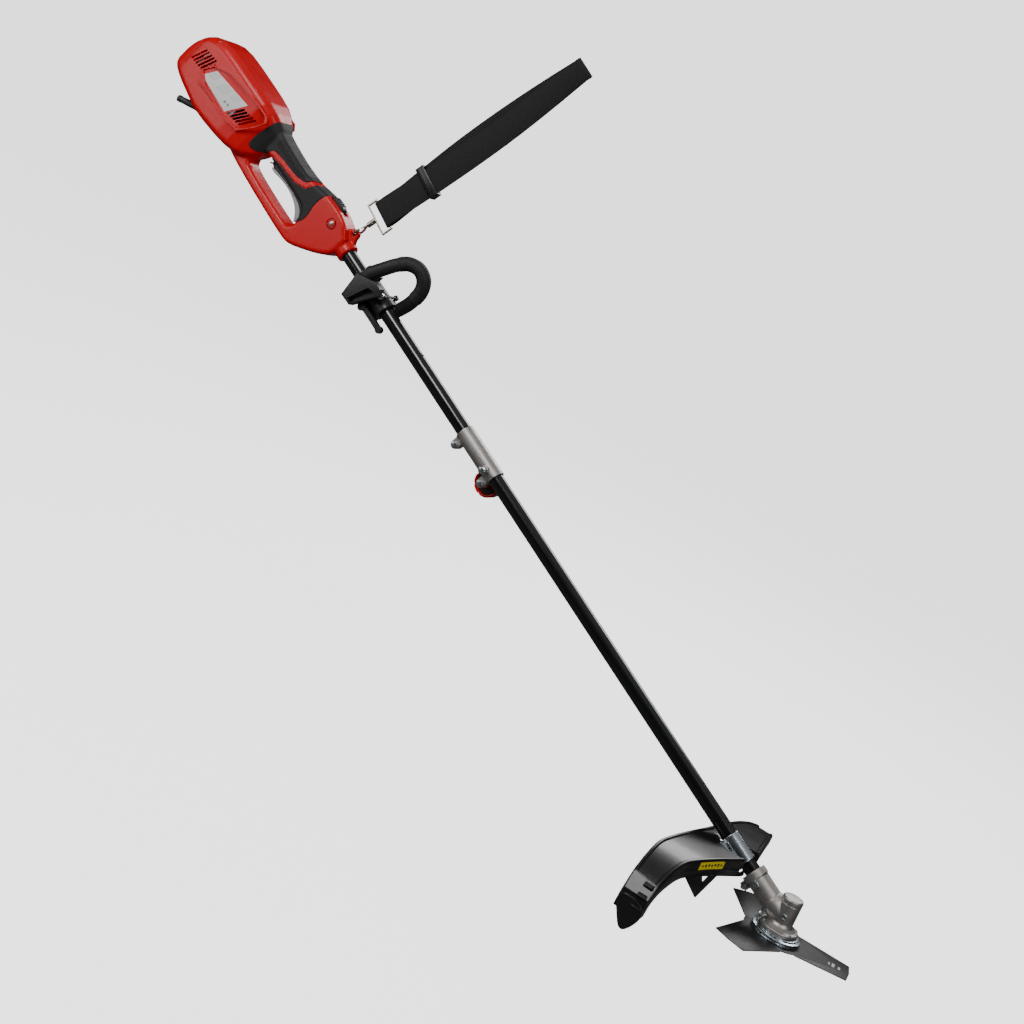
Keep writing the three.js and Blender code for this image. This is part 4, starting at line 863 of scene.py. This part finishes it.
for turn in (35, 145, 215, 325):
    angle = math.radians(turn)
    seats.append(lathe("flange_screw", [(-14.2, 0), (-14.2, 2.6), (-12.6, 2.6), (-12.0, 2.0), (-12.0, 0)], 24, "Z",
                       (SCREW_CIRCLE * math.cos(angle), SCREW_CIRCLE * math.sin(angle), 0)))
finish(join("flange_screws", seats), "flange_screw_heads", "lower_unit", ZINC_PLATED, LEVEL)

# ---------- Plate, drum, blade, cup and nut ----------
# A fixed plate under the flange, then the turning stack: a zinc-plated receiver, a blackened steel blade
# with three teeth and a pressed cup, pulled together on the spindle by a left-hand nut.
dress("shield_plate", "fixed_plate", "lower_unit", ZINC_PLATED, 0.4)
drum_profile = [
    (-22.6, 8), (-22.6, 40.9), (-23.0, 41.6), (-24.2, 41.6), (-24.8, 40.2), (-27.2, 40.0), (-27.8, 41.4),
    (-29.0, 41.6), (-29.6, 40.9), (-29.6, 8),
]
drum = lathe("drum", drum_profile, 128, "Z")
for turn in (-118, -28, 62, 152):
    carve(drum, rod("gauge_hole", 1.7, 34, 46, "X", (0, 0, -26)))
    drum.data.transform(Matrix.Rotation(math.radians(90), 4, "Z"))
drum.data.transform(Matrix.Rotation(math.radians(-112), 4, "Z"))
finish(drum, "blade_receiver", "blade", ZINC_PLATED, LEVEL, ["receiver_drum"])
BLADE_BLACK = surface("blade_black_oxide", (0.010, 0.009, 0.0085), 0.48, metal=0.0, grain=800, depth=0.01,
                      tone=0.25, spread=0.14, marks=0.15)
dress("grass_blade", "three_tooth_blade", "blade", BLADE_BLACK, 0.25)
STAMP = surface("blade_stamping", (0.55, 0.56, 0.58), 0.4, grain=900, depth=0.02)
STAMP_LOW, STAMP_HIGH, TOOTH_TURN = -29.92, -29.84, 12.5
stamps = []
for reach, width, length in ((92, 2.6, 9), (99, 4.4, 13), (109, 3.6, 10)):
    mark = brick("mark", (reach - width / 2, -length / 2, STAMP_LOW), (reach + width / 2, length / 2, STAMP_HIGH))
    mark.data.transform(Matrix.Rotation(math.radians(TOOTH_TURN), 4, "Z"))
    stamps.append(mark)
finish(join("stamps", stamps), "blade_marks", "blade", STAMP, LEVEL)
cup_profile = [(-31.8, 8), (-31.8, 30), (-32.3, 31), (-33.6, 31), (-34.2, 30.4), (-37.6, 27), (-39.2, 24),
               (-39.8, 22), (-39.8, 8)]
finish(lathe("cup", cup_profile, 96, "Z"), "lower_cup", "blade", BLACK_SATIN, LEVEL, ["blade_cup"])
dress("blade_nut", "flanged_nut", "blade", ZINC_PLATED, 0.5)

# ---------- Guard ----------
# One glossy polypropylene moulding: an arched roof with a stepped front wall, a rolled rear lip and inner
# ribs. A zinc-plated bracket and two screws clamp its seat under the tube.
TOOL_TO_LEVEL = LEVEL.inverted() @ TOOL
GUARD_BLACK = surface("guard_gloss", (0.010, 0.010, 0.0105), 0.30, coat=0.12, grain=350, depth=0.003, tone=0.15,
                      spread=0.08, marks=0.1)
GUARD_ARCH = [(190, 40), (150, 49), (60, 56), (-70, 56), (-140, 50), (-184, 38), (-212, 20), (-230, -6),
              (-236, -36)]
GUARD_FRONT = [(200, -112), (10, -81), (-10, -81), (-150, -140), (-244, -150)]
GUARD_REAR = [(200, -140), (120, -158), (0, -172), (-140, -196), (-244, -190)]
ARCH_STEPS, ARCH_SMOOTHINGS = 190, 60
arch, _ = even(curve_through([(0, y, z) for y, z in GUARD_ARCH], 20), ARCH_STEPS)
for _ in range(ARCH_SMOOTHINGS):
    arch[1:-1] = (arch[:-2] + 2 * arch[1:-1] + arch[2:]) / 4


def guard_edge(stations, y):
    """How far forward an edge of the roof lies at y, its corners eased over 28 mm."""
    ys = [s[0] for s in stations][::-1]
    xs = [s[1] for s in stations][::-1]
    spread = np.linspace(-14, 14, 9)
    return float(np.mean(np.interp(y + spread, ys, xs)))


# The section of the roof and its walls: f from the front edge or r from the rear one, how far along, how deep.
GUARD_SECTION = [
    ("f", -3.0, 31), ("f", -0.6, 31), ("f", 0, 30.4), ("f", 0.2, 18.6), ("f", 0.8, 17.8), ("f", 1.8, 17.2),
    ("f", 1.9, 16), ("f", 1.2, 3), ("f", 0.6, 0.8), ("f", -0.9, -1.0), ("f", -3.2, -1.5), ("f", -5.4, -1.0),
    ("f", -6.4, 0.2), ("f", -9, 0.1), ("r", 9, 0.1), ("r", 6.4, 0.1), ("r", 5, -1.6), ("r", 3.4, -2.6),
    ("r", 1.4, -2.6), ("r", 0, -1.6), ("r", -0.6, 0.6), ("r", -0.6, 6), ("r", 1.6, 6.4), ("r", 2.4, 3.2),
    ("r", 9, 3.0), ("f", -7, 3.0), ("f", -3.6, 4.2), ("f", -3.0, 8),
]
guard_points = []
for k, (_, y, z) in enumerate(arch):
    ahead = arch[min(k + 1, len(arch) - 1)] - arch[max(k - 1, 0)]
    ahead = ahead / np.linalg.norm(ahead)
    inward = (-ahead[2], ahead[1])
    if inward[1] > 0:
        inward = (ahead[2], -ahead[1])
    edges = {"f": guard_edge(GUARD_FRONT, y), "r": guard_edge(GUARD_REAR, y)}
    for side, along, deep in GUARD_SECTION:
        guard_points.append((edges[side] + along, y + inward[0] * deep, z + inward[1] * deep))
section = len(GUARD_SECTION)
guard_faces = [(k * section + i, k * section + (i + 1) % section, (k + 1) * section + (i + 1) % section,
                (k + 1) * section + i) for k in range(len(arch) - 1) for i in range(section)]
guard_faces += [tuple(range(section)), tuple(range((len(arch) - 1) * section, len(arch) * section))]
guard = outward(raw("guard", guard_points, guard_faces))


def clear_way(body):
    """Cuts the room for the tube, its clamp and the gearbox collar."""
    ways = [
        rod("way", 16.5, -300, 0),
        brick("way", (-300, -16.5, 0), (0, 16.5, 200)),
        brick("way", (-152, -29, -10.3), (-94, 29, 200)),
        brick("way", (-87, -21.3, -31.3), (20, 21.3, 200)),
    ]
    for way in ways:
        way.data.transform(TOOL_TO_LEVEL)
        carve(body, way)
    return body


clear_way(guard)
guard_parts = [guard]
for y in (36, 64, 92, 120, 148, -34, -62, -150, -178):
    top = float(np.interp(y, arch[::-1, 1], arch[::-1, 2]))
    x_front, x_back = guard_edge(GUARD_FRONT, y), guard_edge(GUARD_REAR, y)
    deep = 15 if y > 0 else 10
    rib = brick("rib", (x_back + 4, y - 0.9, top - deep), (x_front - 2, y + 0.9, top - 2.2))
    guard_parts.append(rib)
seat = brick("seat", (-149, -27, -28), (-101, 27, -10.4))
carve(seat, rod("way", 13.6, -200, -50))
seat.data.transform(TOOL_TO_LEVEL)
guard_parts.append(seat)
finish(join("guard_all", guard_parts), "blade_guard", "lower_unit", GUARD_BLACK, LEVEL, ["guard_shell"],
       38)

# A yellow sticker with plain dark dashes on the upper step of the front wall.
STICKER_YELLOW = surface("sticker_yellow", (0.86, 0.70, 0.01), 0.35, grain=600, depth=0.01, tone=0.04)
STICKER_INK = surface("sticker_ink", (0.02, 0.02, 0.02), 0.5, grain=600, depth=0.01)
STICKER_Y = (-122, -72)


def on_wall(y, deep, lift):
    """A point on the step of the front wall, some way below the roof and proud of the wall."""
    z = float(np.interp(y, arch[::-1, 1], arch[::-1, 2]))
    return (guard_edge(GUARD_FRONT, y) + 1.2 + 0.05 * deep + lift, y, z - deep)


STICKER_ROWS = 26
STICKER_TOP, STICKER_FOOT, STICKER_BACK, STICKER_FACE = 3, 15.5, 0.15, 0.45
sticker_points, sticker_faces = [], []
for k in range(STICKER_ROWS):
    y = STICKER_Y[0] + (STICKER_Y[1] - STICKER_Y[0]) * k / (STICKER_ROWS - 1)
    sticker_points += [on_wall(y, STICKER_TOP, STICKER_BACK), on_wall(y, STICKER_FOOT, STICKER_BACK),
                       on_wall(y, STICKER_FOOT, STICKER_FACE), on_wall(y, STICKER_TOP, STICKER_FACE)]
for k in range(STICKER_ROWS - 1):
    for i in range(4):
        sticker_faces.append((4 * k + i, 4 * k + (i + 1) % 4, 4 * k + 4 + (i + 1) % 4, 4 * k + 4 + i))
sticker_faces += [(0, 1, 2, 3), tuple(4 * (STICKER_ROWS - 1) + i for i in range(4))]
sticker = outward(raw("sticker", sticker_points, sticker_faces))
finish(sticker, "guard_sticker", "lower_unit", STICKER_YELLOW, LEVEL)
dashes = []
for k in range(7):
    y = STICKER_Y[0] + 6 + 6.4 * k
    spot = on_wall(y, 9.2, 0.5)
    dash = brick("dash", (-0.15, -1.9, -2.6 if k % 2 else -1.4), (0.15, 1.9, 2.6 if k % 3 else 1.4))
    lean = math.atan2(on_wall(y + 2, 9, 0)[0] - on_wall(y - 2, 9, 0)[0], 4)
    dash.data.transform(Matrix.Translation(spot) @ Matrix.Rotation(-lean, 4, "Z"))
    dashes.append(dash)
finish(join("dashes", dashes), "guard_sticker_marks", "lower_unit", STICKER_INK, LEVEL)

# The flap that closes the right-hand end of the roof, its three clips, and the cutter bracket inside.
flap = copied("guard_skirt")
carve(flap, brick("below", (-400, -400, -100), (0, 0, 26)))
tongue = slab("tongue", [soften([[-188, -8], [-150, -10], [-142, -30], [-149, -48], [-158, -60], [-163, -61.8],
                                 [-169, -60], [-178, -46], [-188, -28]], 2)], 1.9, 0.5, -239.6)
tongue.data.transform(Matrix.Translation((0, 0, 50.1)))
flap = join("flap", [flap, tongue])
modify(flap, "REMESH", mode="VOXEL", voxel_size=0.7)
modify(flap, "SMOOTH", factor=0.5, iterations=2)
finish(bake(flap), "guard_flap", "lower_unit", GUARD_BLACK, OBJECT, ["guard_skirt"], 60)
clips = []
for y, z in ((-219, 12), (-228, -4), (-234.5, -20)):
    clip = brick("clip", (-166, -3.2, -4), (-150, 3.2, 4))
    clip.data.transform(Matrix.Translation((0, y - 3.2, z)) @ Matrix.Rotation(math.radians(-62), 4, "X"))
    modify(clip, "BEVEL", width=1.1, segments=3, limit_method="ANGLE")
    clips.append(bake(clip))
finish(join("clips", clips), "guard_clips", "lower_unit", BLACK_SATIN, LEVEL)
cutter = copied("line_cutter_bracket")
anchor = Matrix.Translation((-142, -128, 82.1))
cutter.data.transform(anchor @ Matrix.Scale(1.3, 4) @ anchor.inverted())
modify(cutter, "BEVEL", width=0.4, segments=2, limit_method="ANGLE", angle_limit=math.radians(36))
finish(bake(cutter), "cutter_bracket", "lower_unit", BLACK_SATIN, OBJECT, ["line_cutter_bracket"],
       40)
clamp = rod("clamp", 15.7, -149, -101, sides=96)
carve(clamp, brick("under", (-200, -40, -40), (0, 40, -8)))
clamp = join("clamp", [clamp, brick("ears", (-149, -28, -10.2), (-101, 28, -7.9)),
                       brick("step_left", (-143, 13, -8.5), (-107, 17.5, -2)),
                       brick("step_right", (-143, -17.5, -8.5), (-107, -13, -2))])
modify(clamp, "REMESH", mode="VOXEL", voxel_size=0.5)
modify(clamp, "SMOOTH", factor=0.5, iterations=3)
clamp = bake(clamp)
carve(clamp, rod("tube_room", 13.15, -200, -50, sides=96))
finish(clamp, "guard_tube_clamp", "lower_unit", ZINC_PLATED, TOOL, ["guard_clamp"], 50)
dress("guard_screw_right", "clamp_screw_right", "lower_unit", ZINC_PLATED, 0.5)
dress("guard_screw_left", "clamp_screw_left", "lower_unit", ZINC_PLATED, 0.5)

# ---------- Inner pieces ----------
# Motor, switch and drive train, out of sight in their casings. They keep their plain solids and take the
# finish of what each is made of.
COPPER = surface("enamelled_copper", (0.42, 0.14, 0.05), 0.34, metal=0.9, grain=500, depth=0.2, tone=0.3)
IRON = surface("motor_laminations", (0.22, 0.22, 0.23), 0.5, metal=0.8, grain=900, depth=0.1, tone=0.2)
GROUND_STEEL = surface("ground_steel", (0.52, 0.52, 0.53), 0.28, metal=1.0, grain=900, depth=0.03, tone=0.1,
                       stretch=(0.1, 1, 1), marks=0.1)
INNER = {
    IRON: ["motor_stator", "motor_bracket_back", "motor_bracket_front"],
    COPPER: ["motor_rotor"],
    BLACK_SATIN: ["cooling_fan", "power_switch"],
    GROUND_STEEL: ["motor_bearing_back", "motor_bearing_front", "trigger_pin", "lower_drive_shaft",
                   "upper_drive_shaft", "pinion_bearing", "spindle_upper_bearing", "spindle_lower_bearing",
                   "output_spindle"],
    RUBBER: ["liner_bush_lower", "liner_bush_upper"],
}
for material, names in INNER.items():
    for node in names:
        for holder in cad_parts[node].material_slots:
            holder.material = material

# ---------- Strap hook, gate and ring ----------
# Nickel-plated die castings: a snap hook through the housing eyelet, with its sprung gate, and a swivel
# ring with a flat bar for the webbing.
soft_copy("snap_hook", "carabiner_hook", "hook", NICKEL, 0.32, 2, 0.7)
soft_copy("hook_gate", "carabiner_gate", "hook_gate", NICKEL, 0.28, 2, 0.2)
soft_copy("swivel_ring", "webbing_ring", "ring", NICKEL, 0.36, 2, 0.35)

# ---------- Shoulder strap ----------
# Nylon webbing 48 mm wide and 2.4 mm thick, sewn round the ring and doubled back through a plastic slider.
# It stands up from the ring in a slight bow, and turns and narrows towards its top.
STRAP = TOOL @ Matrix.Translation((NOSE - 9, 0, 31)) @ Matrix.Rotation(math.radians(7), 4, "Y")
WEB_HALF, WEB_THICK, WEB_LOW, WEB_HIGH, WEB_GAP, WEB_MID = 24.0, 2.4, 64.0, 489.0, 5.0, 2.0
WEB_EDGE = 1.1
BOW_FROM, BOW_SPAN = 80, 415
BOW, LAYER_DRIFT, TOP_DRIFT = 6.0, 15.0, 3.0
RIPPLE, RIPPLE_LENGTH, CROWN = 0.7, 46, 0.0012
TAPER, TWIST = 0.24, math.radians(16)
line = [(WEB_MID + WEB_GAP * math.cos(a), WEB_LOW + WEB_GAP * math.sin(a), 1)
        for a in np.linspace(0, -math.pi, 14)]
line += [(WEB_MID - WEB_GAP, z, 0) for z in np.linspace(WEB_LOW + 2, WEB_HIGH - 2, 190)]
line += [(WEB_MID + WEB_GAP * math.cos(a), WEB_HIGH + WEB_GAP * math.sin(a), 0.5)
         for a in np.linspace(math.pi, 0, 14)]
line += [(WEB_MID + WEB_GAP, z, 1) for z in np.linspace(WEB_HIGH - 2, WEB_LOW + 2, 190)]
web_section = []
for x_side, count in ((1, 5), (-1, 5)):
    for k in range(count):
        a = -math.pi / 2 + math.pi * k / (count - 1)
        web_section.append((x_side * (WEB_HALF - WEB_EDGE + WEB_EDGE * math.cos(a)),
                            x_side * WEB_THICK / 2 * math.sin(a)))
web_points, web_uv = [], []
gone = 0.0
for k, (y, z, rear) in enumerate(line):
    before, after = line[k - 1], line[(k + 1) % len(line)]
    ahead = np.array([after[0] - before[0], after[1] - before[1]])
    ahead /= np.linalg.norm(ahead)
    if k:
        gone += math.hypot(y - line[k - 1][0], z - line[k - 1][1])
    rise = min(1, max(0, (z - BOW_FROM) / BOW_SPAN))
    hump = math.sin(math.pi * rise)
    drift = (BOW - LAYER_DRIFT * rear) * hump - TOP_DRIFT * rise * rise
    wave = RIPPLE * math.sin(z / RIPPLE_LENGTH) * hump
    narrow = 1 - TAPER * rise * rise
    twist = TWIST * rise * rise
    for x, off in web_section:
        px, py = x * narrow + drift, y + off * ahead[1] + wave + CROWN * x * x * hump
        pz = z - off * ahead[0]
        web_points.append((px * math.cos(twist) - (py - WEB_MID) * math.sin(twist),
                           WEB_MID + px * math.sin(twist) + (py - WEB_MID) * math.cos(twist), pz))
        web_uv.append((x, gone))
around = len(web_section)
web_faces = [(k * around + i, k * around + (i + 1) % around, ((k + 1) % len(line)) * around + (i + 1) % around,
              ((k + 1) % len(line)) * around + i) for k in range(len(line)) for i in range(around)]
webbing = raw("webbing", web_points, web_faces)
weave_uv = webbing.data.uv_layers.new(name="weave")
for corner in webbing.data.loops:
    weave_uv.data[corner.index].uv = web_uv[corner.vertex_index]
outward(webbing)


def woven(name, colour):
    """Webbing: fine cross ribs and two edge cords, read from its own map."""
    made = bpy.data.materials.new(name)
    made.use_nodes = True
    tree = made.node_tree
    shader = tree.nodes["Principled BSDF"]
    start = Shade(tree)
    place = start.add("ShaderNodeUVMap", {"uv_map": "weave"})
    across = start.add("ShaderNodeSeparateXYZ", None, {0: place})
    along = Shade(tree, across.socket.node.outputs[1])
    ribs = start.maths("SINE", along * 2.6, 0.0)
    cords = start.maths("SINE", across * 4.2, 0.0)
    cloth = start.add("ShaderNodeTexNoise", None, {"Vector": place, "Scale": 0.35, "Detail": 6.0})
    tone = start.add("ShaderNodeMapRange", None, {0: cloth, 1: 0.3, 2: 0.7, 3: 0.7, 4: 1.35})
    mixed = start.add("ShaderNodeMix", {"data_type": "RGBA"}, {0: tone * 0.6, 6: (0.0, 0.0, 0.0, 1), 7: colour}, 2)
    bump = start.add("ShaderNodeBump", None, {"Strength": 0.5, "Distance": 0.0004,
                                              "Height": ribs * 0.5 + cords * 0.35 + cloth * 0.3})
    tree.links.new(mixed.socket, shader.inputs["Base Color"])
    tree.links.new(bump.socket, shader.inputs["Normal"])
    shader.inputs["Roughness"].default_value = 0.86
    shader.inputs["Sheen Weight"].default_value = 0.04
    return made


WEAVE = woven("nylon_webbing", (0.020, 0.020, 0.022, 1))
finish(webbing, "shoulder_webbing", "strap", WEAVE, STRAP, ["strap_webbing"], 60)
STITCHES, STITCH_PITCH, SEAM_HEIGHTS = 19, 2.4, (76, 82, 108)
seams = [bars("seam", STITCHES, (-21.6, WEB_MID - WEB_GAP - 1.25, z), (STITCH_PITCH, 0, 0), (1.7, 0.5, 0.6))
         for z in SEAM_HEIGHTS]
THREAD = surface("sewing_thread", (0.03, 0.03, 0.032), 0.7, grain=2000, depth=0.1)
finish(join("seams", seams), "strap_stitches", "strap", THREAD, STRAP)
dress("strap_slider", "three_bar_slider", "slider", BLACK_SATIN, 0.5)
